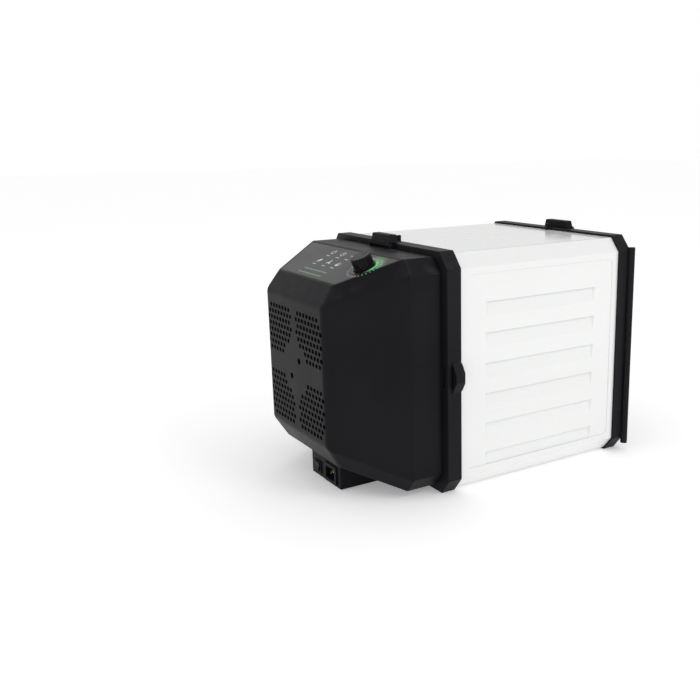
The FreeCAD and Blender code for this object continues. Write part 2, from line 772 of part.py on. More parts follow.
def louvre(z, outer_x, depth, half_length):
    """Wedge under a tray seat, deepest along its top edge, with slanted ends."""
    section = [(outer_x, z), (outer_x - depth, z), (outer_x, z - LOUVRE_FALL)]
    wedge = prism_y(section, -half_length, half_length)
    for end in (-1, 1):
        corner = Vec(outer_x, end * half_length, z)
        wedge = below_plane(wedge, corner, Vec(-LOUVRE_FALL, end * LOUVRE_FALL, -depth))
    return wedge


def side_panel():
    """The wall on the +X side, with its chamfered edges, tray ledges and pressed louvres.

    Its -Y end is notched for the nose of that end's side latch.
    """
    reach = HALF_L - FRAME_WEB - PANEL_END_CLEAR
    keep = box(seam_x() + SEAM_HALF_GAP, HALF_W, -reach, reach, 0, CABINET_HEIGHT)
    wall = panel_ring(SIDE_WALL).common(keep)
    outer_x = HALF_W - PANEL_INSET
    inner_x = outer_x - SIDE_WALL
    field_half = HALF_L - FIELD_END_MARGIN
    field_top = CABINET_HEIGHT - FIELD_TOP_DROP
    field = rounded_block(-field_half, field_half, FIELD_LOW, field_top, 0, FIELD_DEPTH, FIELD_ROUND)
    field.Placement = FreeCAD.Placement(FreeCAD.Matrix(
        0, 0, 1, outer_x - FIELD_DEPTH,
        1, 0, 0, 0,
        0, 1, 0, 0,
        0, 0, 0, 1,
    ))
    wall = wall.cut(field)
    adds = []
    cuts = []
    ledge_half = HALF_L - LEDGE_END
    rib_x = inner_x + 0.5
    for z in tray_seats():
        adds.append(box(LEDGE_X, inner_x + 0.5, -ledge_half, ledge_half, z - LEDGE_THICK, z))
        bulge = LOUVRE_DEPTH + LOUVRE_BACK_WALL - SIDE_WALL + FIELD_DEPTH
        adds.append(louvre(z, inner_x + FIELD_DEPTH, bulge, LOUVRE_HALF_LENGTH + LOUVRE_BACK_WALL))
        cuts.append(louvre(z, outer_x - FIELD_DEPTH, LOUVRE_DEPTH, LOUVRE_HALF_LENGTH))
        for n in range(GUSSET_COUNT):
            y = (ledge_half - GUSSET_INSET) * (2 * n / (GUSSET_COUNT - 1) - 1)
            rib = [(LEDGE_X + GUSSET_THICK, z - 1.0), (rib_x, z - 1.0), (rib_x, z - GUSSET_DROP)]
            adds.append(prism_y(rib, y - GUSSET_THICK / 2, y + GUSSET_THICK / 2))
    notch_half = NOSE_HALF + NOSE_ROOM
    notch_reach = HALF_L - TAB_IN - NOSE_ROOM
    cuts.append(box(inner_x - 1.0, HALF_W, -HALF_L, -notch_reach, MID_Z - notch_half, MID_Z + notch_half))
    return fuse_all([wall] + adds).cut(Part.makeCompound(cuts))


def boss(x, z, plate_z, end):
    """Block behind a frame screw, joined to a panel at plate_z."""
    web = HALF_L - FRAME_WEB
    y0, y1 = sorted((end * (web - BOSS_CLEAR), end * (web - BOSS_LENGTH)))
    z0, z1 = sorted((plate_z, z + math.copysign(BOSS_PAST_SCREW, z - plate_z)))
    return box(x - BOSS_HALF, x + BOSS_HALF, y0, y1, z0, z1)


def flat_panel(top):
    """The top panel, or the bottom one with the ribs that carry the drip tray."""
    limit = seam_x() - SEAM_HALF_GAP
    reach = HALF_L - FRAME_WEB - PANEL_END_CLEAR
    z0, z1 = (MID_Z, CABINET_HEIGHT) if top else (0, MID_Z)
    plate = panel_ring(TOP_WALL).common(box(-limit, limit, -reach, reach, z0, z1))
    inner_z = CABINET_HEIGHT - PANEL_INSET - TOP_WALL if top else PANEL_INSET + TOP_WALL
    adds = []
    holes = []
    for x, z in frame_screw_spots():
        if (z > MID_Z) != top:
            continue
        for end in (-1, 1):
            adds.append(boss(x, z, inner_z + (0.5 if top else -0.5), end))
            start = Vec(x, end * (HALF_L - FRAME_WEB), z)
            holes.append(rod(SCREW_R + FIT_CLEAR, start, Vec(0, -end, 0), BOSS_LENGTH - BLIND_END))
    if top:
        for end in (-1, 1):
            y = end * (HALF_L - FRAME_DEPTH - PEG_BEHIND - PEG_R)
            start = Vec(0, y, inner_z - 1.0)
            holes.append(rod(PEG_STEM_R + FIT_CLEAR, start, Vec(0, 0, 1), TOP_WALL + 2.0))
    else:
        for side in (-1, 1):
            x = side * FLOOR_RIB_X
            rib_half = HALF_L - LEDGE_END
            adds.append(box(
                x - FLOOR_RIB_T / 2, x + FLOOR_RIB_T / 2, -rib_half, rib_half,
                inner_z - 0.5, DRIP_Z - REST_GAP,
            ))
    return fuse_all([plate] + adds).cut(Part.makeCompound(holes))


# ---- trays ---------------------------------------------------------------------------------
def tray(z):
    """Rim with a turned-out lip, a floor of square openings and a raised cross."""
    y0 = -HALF_L + TRAY_FRONT_GAP
    y1 = HALF_L - TRAY_REAR_GAP
    body_half = TRAY_HALF - TRAY_LIP
    wall_y0 = y0 + TRAY_LIP
    wall_y1 = y1 - TRAY_LIP
    r = TRAY_ROUND - TRAY_LIP
    top = z + TRAY_RIM_H
    rim = rounded_block(-body_half, body_half, wall_y0, wall_y1, z, top, r)
    inside_half = body_half - TRAY_WALL
    inside = rounded_block(
        -inside_half, inside_half, wall_y0 + TRAY_WALL, wall_y1 - TRAY_WALL, z, top, r - TRAY_WALL
    )
    runner = rounded_block(-TRAY_HALF, TRAY_HALF, y0, y1, z, z + TRAY_LIP_H, TRAY_ROUND)
    floor_wires = [rounded_wire(-TRAY_HALF, TRAY_HALF, y0, y1, TRAY_ROUND, z)]
    x_edge = body_half - TRAY_BORDER
    y_low = wall_y0 + TRAY_BORDER
    y_high = wall_y1 - TRAY_BORDER
    mid_y = (y_low + y_high) / 2
    half_count = TRAY_GRID // 2
    pitch_x = (x_edge - TRAY_CROSS_HALF + TRAY_BAR) / half_count
    pitch_y = (y_high - mid_y - TRAY_CROSS_HALF + TRAY_BAR) / half_count
    for i in range(TRAY_GRID):
        side_x, nx = (1, i) if i < half_count else (-1, i - half_count)
        xa = side_x * (TRAY_CROSS_HALF + nx * pitch_x)
        xb = side_x * (TRAY_CROSS_HALF + (nx + 1) * pitch_x - TRAY_BAR)
        for j in range(TRAY_GRID):
            side_y, ny = (1, j) if j < half_count else (-1, j - half_count)
            ya = mid_y + side_y * (TRAY_CROSS_HALF + ny * pitch_y)
            yb = mid_y + side_y * (TRAY_CROSS_HALF + (ny + 1) * pitch_y - TRAY_BAR)
            floor_wires.append(polygon([Vec(xa, ya, z), Vec(xb, ya, z), Vec(xb, yb, z), Vec(xa, yb, z)]))
    floor = pierced_face(floor_wires).extrude(Vec(0, 0, TRAY_FLOOR_T))
    cross_z = z + TRAY_CROSS_H
    cross = [
        box(-TRAY_CROSS_HALF, TRAY_CROSS_HALF, wall_y0 + 1, wall_y1 - 1, z, cross_z),
        box(-body_half + 1, body_half - 1, mid_y - TRAY_CROSS_HALF, mid_y + TRAY_CROSS_HALF, z, cross_z),
    ]
    return fuse_all([rim.cut(inside), runner.cut(inside), floor] + cross)


def drip_tray():
    y0 = -HALF_L + TRAY_FRONT_GAP
    y1 = HALF_L - TRAY_REAR_GAP
    top = DRIP_Z + DRIP_H
    body = rounded_block(-DRIP_HALF, DRIP_HALF, y0, y1, DRIP_Z, top, DRIP_ROUND)
    inside_half = DRIP_HALF - DRIP_WALL
    inside = rounded_block(
        -inside_half, inside_half, y0 + DRIP_WALL, y1 - DRIP_WALL, DRIP_Z + DRIP_WALL, top,
        DRIP_ROUND - DRIP_WALL,
    )
    tab = box(
        DRIP_TAB_X - DRIP_TAB_W / 2, DRIP_TAB_X + DRIP_TAB_W / 2, y0 - DRIP_TAB_D, y0 + DRIP_WALL,
        top - DRIP_WALL, top,
    )
    return fuse_all([body.cut(inside), tab])


# ---- fan unit shell ------------------------------------------------------------------------
def outward_normal(p, q, r):
    """Normal of the plane through three points, pointing away from the fan unit's middle."""
    n = (q - p).cross(r - p)
    n.normalize()
    if n.dot(Vec(0, BASE_DEPTH, MID_Z) - p) > 0:
        n = n * -1.0
    return n


def fan_cover_solid(inset, panel_inset, back_y):
    """The fan unit's outside faces as one convex solid, every face moved in by inset."""
    top_corner = COVER_TOP - COVER_CORNER_Z
    low_corner = COVER_BOTTOM + COVER_CORNER_Z
    edge_x = COVER_HALF - COVER_CORNER_X
    bounds = [
        (Vec(0, FAN_UNIT_DEPTH, 0), Vec(0, 1, 0), inset),
        (Vec(0, BASE_DEPTH, COVER_TOP), Vec(0, PANEL_FOOT_DROP, PANEL_RUN), panel_inset),
    ]
    brow_foot = Vec(0, FAN_UNIT_DEPTH, FACE_TOP)
    brow_head = Vec(0, PANEL_FOOT_OUT, PANEL_FOOT_Z)
    bounds.append((brow_head, Vec(0, brow_head.z - brow_foot.z, brow_foot.y - brow_head.y), inset))
    chin_foot = Vec(0, CHIN_OUT, COVER_BOTTOM + CHIN_RISE)
    bounds.append((chin_foot, Vec(0, FACE_BOTTOM - chin_foot.z, CHIN_OUT - FAN_UNIT_DEPTH), inset))
    bounds.append((chin_foot, Vec(0, CHIN_RISE, BASE_DEPTH - CHIN_OUT), inset))
    for side in (-1, 1):
        side_normal = Vec(side * FACE_RUN, FACE_SIDE_INSET, 0)
        bounds.append((Vec(side * COVER_HALF, BASE_DEPTH, 0), side_normal, inset))
        shoulder = (
            Vec(side * edge_x, BASE_DEPTH, COVER_TOP),
            Vec(side * COVER_HALF, BASE_DEPTH, top_corner),
            Vec(side * FACE_HALF, FAN_UNIT_DEPTH, FACE_TOP),
        )
        bounds.append((shoulder[0], outward_normal(*shoulder), inset))
        haunch = (
            Vec(side * edge_x, BASE_DEPTH, COVER_BOTTOM),
            Vec(side * COVER_HALF, BASE_DEPTH, low_corner),
            Vec(side * FACE_HALF, FAN_UNIT_DEPTH, FACE_BOTTOM),
        )
        bounds.append((haunch[0], outward_normal(*haunch), inset))
    solid = prism_y(cover_outline(inset), back_y, FAN_UNIT_DEPTH + 1)
    for point, normal, step in bounds:
        normal.normalize()
        solid = below_plane(solid, point - normal * step, normal)
    return solid


def grille_slot_spots():
    """Middles of the intake slots, as (x, z) offsets from the fan's axis."""
    spots = []
    half = FACE_HALF - GRILLE_MARGIN
    rise = GRILLE_ARM_Z + (GRILLE_ROWS - 1) * GRILLE_ROW_PITCH
    for row in range(GRILLE_ROWS):
        z = GRILLE_ARM_Z + row * GRILLE_ROW_PITCH
        stagger = GRILLE_PITCH / 2 if row % 2 else 0.0
        x = GRILLE_ARM_X + stagger
        while x < half:
            clear_hub = math.hypot(x, z) > GRILLE_HUB_R
            clear_corner = (x - half) + (z - rise) < GRILLE_PITCH - GRILLE_CORNER
            if clear_hub and clear_corner:
                spots += [(x, z), (-x, z), (x, -z), (-x, -z)]
            x += GRILLE_PITCH
    return spots


def grille_hole_wire(x, y, z):
    """Rectangle with round corners in a plane of constant y."""
    half_x, half_z, r = GRILLE_HOLE_W / 2, GRILLE_HOLE_H / 2, GRILLE_HOLE_ROUND
    bulge = r * (1 - math.sqrt(0.5))
    edges = []
    last = None
    for sx, sz in ((-1, -1), (1, -1), (1, 1), (-1, 1)):
        corner = (x + sx * half_x, z + sz * half_z)
        beside = Vec(corner[0] - sx * r, y, corner[1])
        above = Vec(corner[0], y, corner[1] - sz * r)
        middle = Vec(corner[0] - sx * bulge, y, corner[1] - sz * bulge)
        start, end = (above, beside) if sx == sz else (beside, above)
        if last is not None:
            edges.append(Part.makeLine(last, start))
        edges.append(Part.Arc(start, middle, end).toShape())
        last = end
    edges.append(Part.makeLine(last, edges[0].Vertexes[0].Point))
    return Part.Wire(edges)


def grille_window():
    """Half sizes of the plain rectangle of the front face that the slots are made in."""
    half_x = FACE_HALF - GRILLE_MARGIN + GRILLE_PITCH / 2
    half_z = GRILLE_ARM_Z + (GRILLE_ROWS - 0.5) * GRILLE_ROW_PITCH + 1.0
    return half_x, half_z


def grille_plate():
    half_x, half_z = grille_window()
    y0 = FAN_UNIT_DEPTH - COVER_WALL
    edge = polygon([
        Vec(-half_x, y0, FAN_Z - half_z), Vec(half_x, y0, FAN_Z - half_z),
        Vec(half_x, y0, FAN_Z + half_z), Vec(-half_x, y0, FAN_Z + half_z),
    ])
    wires = [edge]
    for x, z in grille_slot_spots():
        wires.append(grille_hole_wire(x, y0, FAN_Z + z))
    for side in (-1, 1):
        centre = Vec(-side * HUB_HOLE_AT, y0, FAN_Z + side * HUB_HOLE_AT)
        wires.append(Part.Wire(Part.makeCircle(HUB_HOLE_R, centre, Vec(0, 1, 0))))
    return pierced_face(wires).extrude(Vec(0, COVER_WALL, 0))


def panel_placement():
    """Panel axes: X across to the viewer's right, Y up the slope, Z out of the panel."""
    across = Vec(-1, 0, 0)
    up = Vec(0, -PANEL_RUN, PANEL_FOOT_DROP) * (1 / PANEL_SLOPE_LENGTH)
    out = Vec(0, PANEL_FOOT_DROP, PANEL_RUN) * (1 / PANEL_SLOPE_LENGTH)
    centre = Vec(0, (BASE_DEPTH + PANEL_FOOT_OUT) / 2, COVER_TOP - PANEL_FOOT_DROP / 2)
    return FreeCAD.Placement(FreeCAD.Matrix(
        across.x, up.x, out.x, centre.x,
        across.y, up.y, out.y, centre.y,
        across.z, up.z, out.z, centre.z,
        0, 0, 0, 1,
    ))


def on_panel(shape):
    placed = shape.copy()
    placed.Placement = panel_placement().multiply(shape.Placement)
    return placed


def overlay_outline(inset):
    """Trapezoid of the sloping panel in panel axes."""
    half_y = PANEL_SLOPE_LENGTH / 2
    head = COVER_HALF - COVER_CORNER_X
    lean = (head - PANEL_FOOT_HALF) / PANEL_SLOPE_LENGTH
    side_inset = inset * math.hypot(1, lean)
    y0 = -half_y + inset
    y1 = half_y - inset
    x0 = PANEL_FOOT_HALF + lean * inset - side_inset
    x1 = head - lean * inset - side_inset
    return [(-x0, y0), (x0, y0), (x1, y1), (-x1, y1)]


def panel_plate(inset, z0, z1):
    wire = polygon([Vec(x, y, z0) for x, y in overlay_outline(inset)])
    return Part.Face(wire).extrude(Vec(0, 0, z1 - z0))


def board_post_spots():
    return [(x, y) for x in (BOARD_X0 + POST_EDGE, BOARD_X1 - POST_EDGE)
            for y in (-BOARD_HALF_Y + POST_EDGE, BOARD_HALF_Y - POST_EDGE)]


def seat_ring(y0):
    """Inner ledge of the cover that a plate is screwed against."""
    ring = prism_y(cover_outline(COVER_WALL - 0.5), y0, y0 + SEAT_T)
    return ring.cut(prism_y(cover_outline(COVER_WALL + SEAT_RIM), y0, y0 + SEAT_T))


def plate_screw_spots():
    x = COVER_HALF - COVER_WALL - (SEAT_RIM + SEAT_CLEAR) / 2
    return [(side * x, MID_Z + rise) for side in (-1, 1)
            for rise in (-PLATE_SCREW_SPREAD, PLATE_SCREW_SPREAD)]


def guard_y():
    return COVER_GAP + GUARD_IN


def plate_screw_holes(y0):
    return [rod(SCREW_R + FIT_CLEAR, Vec(x, y0, z), Vec(0, 1, 0), SEAT_T) for x, z in plate_screw_spots()]


def rounded_cover():
    """The fan unit's outside, with broad rounding about the front face and a small one elsewhere."""
    sharp = fan_cover_solid(0.0, 0.0, COVER_GAP)
    broad = [e for e in sharp.Edges if any(abs(v.Point.y - FAN_UNIT_DEPTH) < 1e-6 for v in e.Vertexes)]
    kept = [e for e in sharp.Edges if e.CenterOfMass.y > COVER_GAP + 1e-6 and e not in broad]
    rounded = sharp.makeFillet(FACE_ROUND, broad)
    small = []
    for edge in rounded.Edges:
        ends = [Part.Vertex(v.Point) for v in edge.Vertexes]
        if edge.Curve.TypeId == "Part::GeomLine" and any(
                all(end.distToShape(old)[0] < 1e-4 for end in ends) for old in kept):
            small.append(edge)
    return rounded.makeFillet(COVER_ROUND, small)


def rim_groove():
    """Band cut around the cover's rear rim."""
    y0, y1 = COVER_GAP - 1.0, COVER_GAP + RIM_GROOVE_W
    return prism_y(cover_outline(-1.0), y0, y1).cut(prism_y(cover_outline(RIM_GROOVE_DEPTH), y0, y1))


def fan_cover():
    outer = rounded_cover()
    inner = fan_cover_solid(COVER_WALL, PANEL_WALL, COVER_GAP - 1)
    shell = outer.cut(inner).cut(rim_groove())
    half_x, half_z = grille_window()
    shell = shell.cut(box(
        -half_x, half_x, FAN_UNIT_DEPTH - COVER_WALL - 1, FAN_UNIT_DEPTH + 1,
        FAN_Z - half_z, FAN_Z + half_z,
    ))
    guard_seat = guard_y() + GUARD_T
    shroud_seat = SHROUD_Y + SHROUD_T
    adds = [grille_plate().common(outer), seat_ring(guard_seat), seat_ring(shroud_seat), latch_tongue()]
    adds += cover_hinge_parts() + latch_ears()
    up = Vec(0, 0, 1)
    post_length = BOARD_DROP - PANEL_WALL + 0.5
    for x, y in board_post_spots():
        adds.append(on_panel(rod(POST_R, Vec(x, y, -BOARD_DROP), up, post_length)))
    cover = fuse_all([shell] + adds)
    cuts = [hinge_bore(), top_latch_bore()] + plate_screw_holes(guard_seat) + plate_screw_holes(shroud_seat)
    cuts.append(on_panel(panel_plate(OVERLAY_EDGE, -OVERLAY_T, 2 * OVERLAY_T)))
    cuts.append(on_panel(dial_way(-PANEL_WALL - 1.0, 0.0)))
    for x, y in board_post_spots():
        start = Vec(x, y, -BOARD_DROP)
        cuts.append(on_panel(rod(SMALL_SCREW_R + FIT_CLEAR, start, up, SMALL_SCREW_GRIP + FIT_CLEAR)))
    cuts.append(box(
        HOUSING_X0 + CABLE_WAY_SIDE, HOUSING_X1 - CABLE_WAY_SIDE,
        HOUSING_Y0 + CABLE_WAY_Y[0], HOUSING_Y0 + CABLE_WAY_Y[1], 0, FACE_BOTTOM,
    ))
    return cover.cut(Part.makeCompound(cuts))


# ---- control panel -------------------------------------------------------------------------
def dial_way(z0, z1):
    """Round hole for the dial's bush, between two depths of the panel."""
    return rod(DIAL_BUSH_R + DIAL_BUSH_CLEAR, Vec(KNOB_X, KNOB_Y, z0), Vec(0, 0, 1), z1 - z0)


def ring_band(grow):
    """Flat ring around the dial, fatter by grow on both edges."""
    start = Vec(KNOB_X, KNOB_Y, RING_RISE - RING_T)
    disc = rod(RING_OUT_R + grow, start, Vec(0, 0, 1), RING_T)
    return disc.cut(rod(RING_IN_R - grow, start, Vec(0, 0, 1), RING_T))


def control_panel():
    plate = panel_plate(OVERLAY_EDGE + OVERLAY_CLEAR, -OVERLAY_T, 0.0)
    return on_panel(plate.cut(dial_way(-OVERLAY_T, 0.0)).cut(ring_band(FIT_CLEAR)))


def dial_light_ring():
    return on_panel(ring_band(0.0))


def dial_knob():
    base = Vec(KNOB_X, KNOB_Y, KNOB_LIFT_CLEAR)
    up = Vec(0, 0, 1)
    top = KNOB_LIFT_CLEAR + KNOB_H
    skirt = rod(KNOB_SKIRT_R, base, up, KNOB_SKIRT_H)
    barrel = rod(KNOB_R, base, up, KNOB_H)
    rim = [e for e in barrel.Edges if e.Closed and e.CenterOfMass.z > KNOB_H]
    barrel = barrel.makeFillet(KNOB_ROUND, rim)
    flutes = []
    for n in range(KNOB_FLUTES):
        turn = 2 * math.pi * n / KNOB_FLUTES
        spot = base + Vec(KNOB_R * math.cos(turn), KNOB_R * math.sin(turn), KNOB_SKIRT_H + 1.0)
        flutes.append(rod(KNOB_FLUTE_R, spot, up, KNOB_H))
    barrel = barrel.cut(Part.makeCompound(flutes))
    line = box(
        KNOB_X - KNOB_LINE_W / 2, KNOB_X + KNOB_LINE_W / 2, KNOB_Y + KNOB_LINE_FROM, KNOB_Y + KNOB_R + 1.0,
        top - KNOB_LINE_DEPTH, top + 1.0,
    )
    bore = rod(DIAL_SHAFT_R + FIT_CLEAR, base, up, KNOB_H - KNOB_CAP)
    return on_panel(fuse_all([skirt, barrel]).cut(line).cut(bore))


def dial_shaft(grow=0.0):
    z0 = ENCODER_FLOOR - BOARD_DROP - grow
    z1 = KNOB_LIFT_CLEAR + KNOB_H - KNOB_CAP - FIT_CLEAR
    return on_panel(rod(DIAL_SHAFT_R + grow, Vec(KNOB_X, KNOB_Y, z0), Vec(0, 0, 1), z1 - z0))


def dial_encoder():
    case = box(
        KNOB_X - ENCODER_HALF, KNOB_X + ENCODER_HALF, KNOB_Y - ENCODER_HALF, KNOB_Y + ENCODER_HALF,
        -BOARD_DROP, -PANEL_WALL - ENCODER_DROP,
    )
    bush_foot = Vec(KNOB_X, KNOB_Y, -BOARD_DROP)
    bush = rod(DIAL_BUSH_R, bush_foot, Vec(0, 0, 1), BOARD_DROP)
    return on_panel(fuse_all([case, bush])).cut(dial_shaft(FIT_CLEAR))


def circuit_board():
    plate = box(BOARD_X0, BOARD_X1, -BOARD_HALF_Y, BOARD_HALF_Y, -BOARD_DROP - BOARD_T, -BOARD_DROP)
    holes = [rod(SMALL_SCREW_R + FIT_CLEAR, Vec(x, y, -BOARD_DROP - BOARD_T), Vec(0, 0, 1), BOARD_T)
             for x, y in board_post_spots()]
    return on_panel(plate.cut(Part.makeCompound(holes)))


def board_components():
    """Relay, transformer and capacitor standing on the back of the board."""
    face = -BOARD_DROP - BOARD_T
    blocks = [box(x0, x1, -half_y, half_y, face - height, face)
              for x0, x1, half_y, height in (RELAY, TRANSFORMER)]
    can = rod(CAPACITOR_R, Vec(CAPACITOR_X, CAPACITOR_Y, face - CAPACITOR_H), Vec(0, 0, 1), CAPACITOR_H)
    return on_panel(Part.makeCompound(blocks + [can]))


def board_screws():
    screws = []
    face = -BOARD_DROP - BOARD_T
    up = Vec(0, 0, 1)
    for x, y in board_post_spots():
        shank = rod(SMALL_SCREW_R, Vec(x, y, face), up, BOARD_T + SMALL_SCREW_GRIP)
        head = rod(SMALL_HEAD_R, Vec(x, y, face - SMALL_HEAD_T), up, SMALL_HEAD_T)
        screws.append(fuse_all([shank, head]))
    return on_panel(Part.makeCompound(screws))


# ---- fan, motor and heater -----------------------------------------------------------------
def fan_shroud():
    """Plate across the cover with a round duct and the spider that carries the motor."""
    y0 = SHROUD_Y
    plate = prism_y(cover_outline(COVER_WALL + SEAT_CLEAR), y0, y0 + SHROUD_T)
    middle = Vec(0, y0, FAN_Z)
    out = Vec(0, 1, 0)
    plate = plate.cut(rod(DUCT_R, middle, out, SHROUD_T))
    duct_start = Vec(0, DUCT_Y, FAN_Z)
    duct = rod(DUCT_R + DUCT_WALL, duct_start, out, y0 - DUCT_Y + SHROUD_T)
    duct = duct.cut(rod(DUCT_R, duct_start, out, y0 - DUCT_Y + SHROUD_T))
    spokes = [rod(MOTOR_HUB_R, middle, out, SHROUD_T)]
    for n in range(SPOKES):
        spoke = box(-SPOKE_HALF, SPOKE_HALF, y0, y0 + SHROUD_T, FAN_Z, FAN_Z + DUCT_R + 1)
        spokes.append(spoke.rotate(middle, out, 360.0 * (n + 0.5) / SPOKES))
    body = fuse_all([plate, duct] + spokes)
    holes = [rod(SHAFT_R + SHAFT_ROOM, middle, out, SHROUD_T)]
    for x, z in plate_screw_spots():
        holes.append(rod(SCREW_R + FIT_CLEAR, Vec(x, y0, z), out, SHROUD_T))
    for x, z in motor_screw_spots():
        holes.append(rod(SCREW_R + FIT_CLEAR, Vec(x, y0, z), out, SHROUD_T))
    return body.cut(Part.makeCompound(holes))


def motor_screw_spots():
    spots = []
    for n in range(MOTOR_SCREWS):
        turn = 2 * math.pi * n / MOTOR_SCREWS
        spots.append((MOTOR_SCREW_R * math.cos(turn), FAN_Z + MOTOR_SCREW_R * math.sin(turn)))
    return spots


def plate_screw(x, y_head, z, grip):
    """Screw driven outwards through a plate into the seat behind it."""
    shank = rod(SCREW_R, Vec(x, y_head, z), Vec(0, 1, 0), grip)
    head = rod(SCREW_HEAD_R, Vec(x, y_head - SCREW_HEAD_T, z), Vec(0, 1, 0), SCREW_HEAD_T)
    return fuse_all([shank, head])


def shroud_screws():
    grip = SHROUD_T + SEAT_T
    return Part.makeCompound([plate_screw(x, SHROUD_Y, z, grip) for x, z in plate_screw_spots()])


def guard_screws():
    screws = []
    for x, z in plate_screw_spots():
        shank = rod(SCREW_R, Vec(x, guard_y(), z), Vec(0, 1, 0), GUARD_T + SEAT_T)
        screws.append(fuse_all([shank, screw_cone(x, guard_y(), z, 1)]))
    return Part.makeCompound(screws)


def motor_screws():
    grip = SHROUD_T + MOTOR_SCREW_GRIP
    return Part.makeCompound([plate_screw(x, SHROUD_Y, z, grip) for x, z in motor_screw_spots()])


def fan_motor():
    y0 = SHROUD_Y + SHROUD_T
    middle = Vec(0, y0, FAN_Z)
    out = Vec(0, 1, 0)
    can = rod(MOTOR_R, middle, out, MOTOR_LENGTH)
    rims = [e for e in can.Edges if e.Closed and e.CenterOfMass.y > y0 + 1]
    can = can.makeFillet(MOTOR_ROUND, rims)
    seam_start = Vec(0, y0 + MOTOR_SEAM_Y, FAN_Z)
    seam = rod(MOTOR_R + 1.0, seam_start, out, MOTOR_SEAM_W)
    seam = seam.cut(rod(MOTOR_R - MOTOR_SEAM_DEPTH, seam_start, out, MOTOR_SEAM_W))
    holes = [rod(SHAFT_R + FIT_CLEAR, middle, out, SHAFT_END - y0 + FIT_CLEAR), seam]
    for x, z in motor_screw_spots():
        holes.append(rod(SCREW_R + FIT_CLEAR, Vec(x, y0, z), out, MOTOR_SCREW_GRIP + FIT_CLEAR))
    return can.cut(Part.makeCompound(holes))


def fan_rotor():
    out = Vec(0, 1, 0)
    middle = Vec(0, ROTOR_Y0, FAN_Z)
    span = ROTOR_Y1 - ROTOR_Y0
    hub = rod(ROTOR_HUB_R, middle, out, span)
    blades = []
    mid_y = ROTOR_Y0 + span / 2
    pivot = Vec(0, mid_y, FAN_Z)
    for n in range(BLADES):
        blade = box(
            -BLADE_CHORD / 2, BLADE_CHORD / 2, mid_y - BLADE_T / 2, mid_y + BLADE_T / 2,
            FAN_Z + ROTOR_HUB_R / 2, FAN_Z + ROTOR_R + 1.0,
        )
        blade = blade.rotate(pivot, Vec(0, 0, 1), BLADE_PITCH_DEG)
        blades.append(blade.rotate(pivot, out, 360.0 * n / BLADES))
    swept = fuse_all([hub] + blades).common(rod(ROTOR_R, middle, out, span))
    return swept.cut(rod(SHAFT_R + FIT_CLEAR, Vec(0, ROTOR_Y0 + ROTOR_CAP, FAN_Z), out, span))


def rotor_shaft():
    start = ROTOR_Y0 + ROTOR_CAP + FIT_CLEAR
    return rod(SHAFT_R, Vec(0, start, FAN_Z), Vec(0, 1, 0), SHAFT_END - start)


def heater_element():
    """Two ring heating tubes joined by a short bridge."""
    out = Vec(0, 1, 0)
    rings = [Part.makeTorus(r, HEATER_TUBE_R, Vec(0, HEATER_Y, FAN_Z), out) for r in HEATER_RADII]
    inner, outer = HEATER_RADII
    bridge = rod(HEATER_BRIDGE_R, Vec(0, HEATER_Y, FAN_Z - outer), Vec(0, 0, 1), outer - inner)
    return fuse_all([rings[0], rings[1], bridge])


def bracket_y():
    return HEATER_Y + HEATER_TUBE_R + BRACKET_GAP


def heater_bracket():
    """Three flat arms across the duct behind the heating tubes."""
    out = Vec(0, 1, 0)
    y0 = bracket_y()
    middle = Vec(0, y0, FAN_Z)
    arms = [rod(BRACKET_HUB_R, middle, out, BRACKET_T)]
    for n in range(BRACKET_ARMS):
        arm = box(-BRACKET_HALF, BRACKET_HALF, y0, y0 + BRACKET_T, FAN_Z, FAN_Z + DUCT_R + 1)
        arms.append(arm.rotate(middle, out, 360.0 * (n + 0.5) / BRACKET_ARMS))
    return fuse_all(arms).common(rod(DUCT_R - FIT_CLEAR, middle, out, BRACKET_T))


def thermal_cutout():
    y1 = bracket_y()
    half_x, thick, half_z = CUTOUT_FLANGE
    disc = rod(CUTOUT_R, Vec(0, y1 - CUTOUT_T, FAN_Z), Vec(0, 1, 0), CUTOUT_T)
    flange = box(-half_x, half_x, y1 - thick, y1, FAN_Z - half_z, FAN_Z + half_z)
    return fuse_all([disc, flange])


def air_guard():
    """Slotted plate that closes the fan unit towards the cabinet."""
    y0 = guard_y()
    wires = [polygon([Vec(x, y0, z) for x, z in cover_outline(COVER_WALL + SEAT_CLEAR)])]
    for ring in range(GUARD_RINGS):
        r0 = GUARD_FIRST_R + ring * GUARD_RING_PITCH - GUARD_SLOT / 2
        r1 = r0 + GUARD_SLOT
        count = GUARD_FIRST_SLOTS + GUARD_MORE_SLOTS * ring
        step = 2 * math.pi / count
        bar = math.radians(GUARD_BAR_DEG) * GUARD_FIRST_R * 2 / (r0 + r1)
        for n in range(count):
            a0 = n * step + bar
            a1 = (n + 1) * step - bar
            mid = (a0 + a1) / 2
            point = [Vec(r * math.cos(a), y0, FAN_Z + r * math.sin(a))
                     for r, a in ((r0, a0), (r0, mid), (r0, a1), (r1, a1), (r1, mid), (r1, a0))]
            wires.append(Part.Wire([
                Part.Arc(point[0], point[1], point[2]).toShape(),
                Part.makeLine(point[2], point[3]),
                Part.Arc(point[3], point[4], point[5]).toShape(),
                Part.makeLine(point[5], point[0]),
            ]))
    plate = pierced_face(wires).extrude(Vec(0, GUARD_T, 0))
    holes = []
    for x, z in plate_screw_spots():
        holes.append(screw_cone(x, y0, z, 1, FIT_CLEAR))
        holes.append(rod(SCREW_R + FIT_CLEAR, Vec(x, y0, z), Vec(0, 1, 0), GUARD_T))
    return plate.cut(Part.makeCompound(holes))


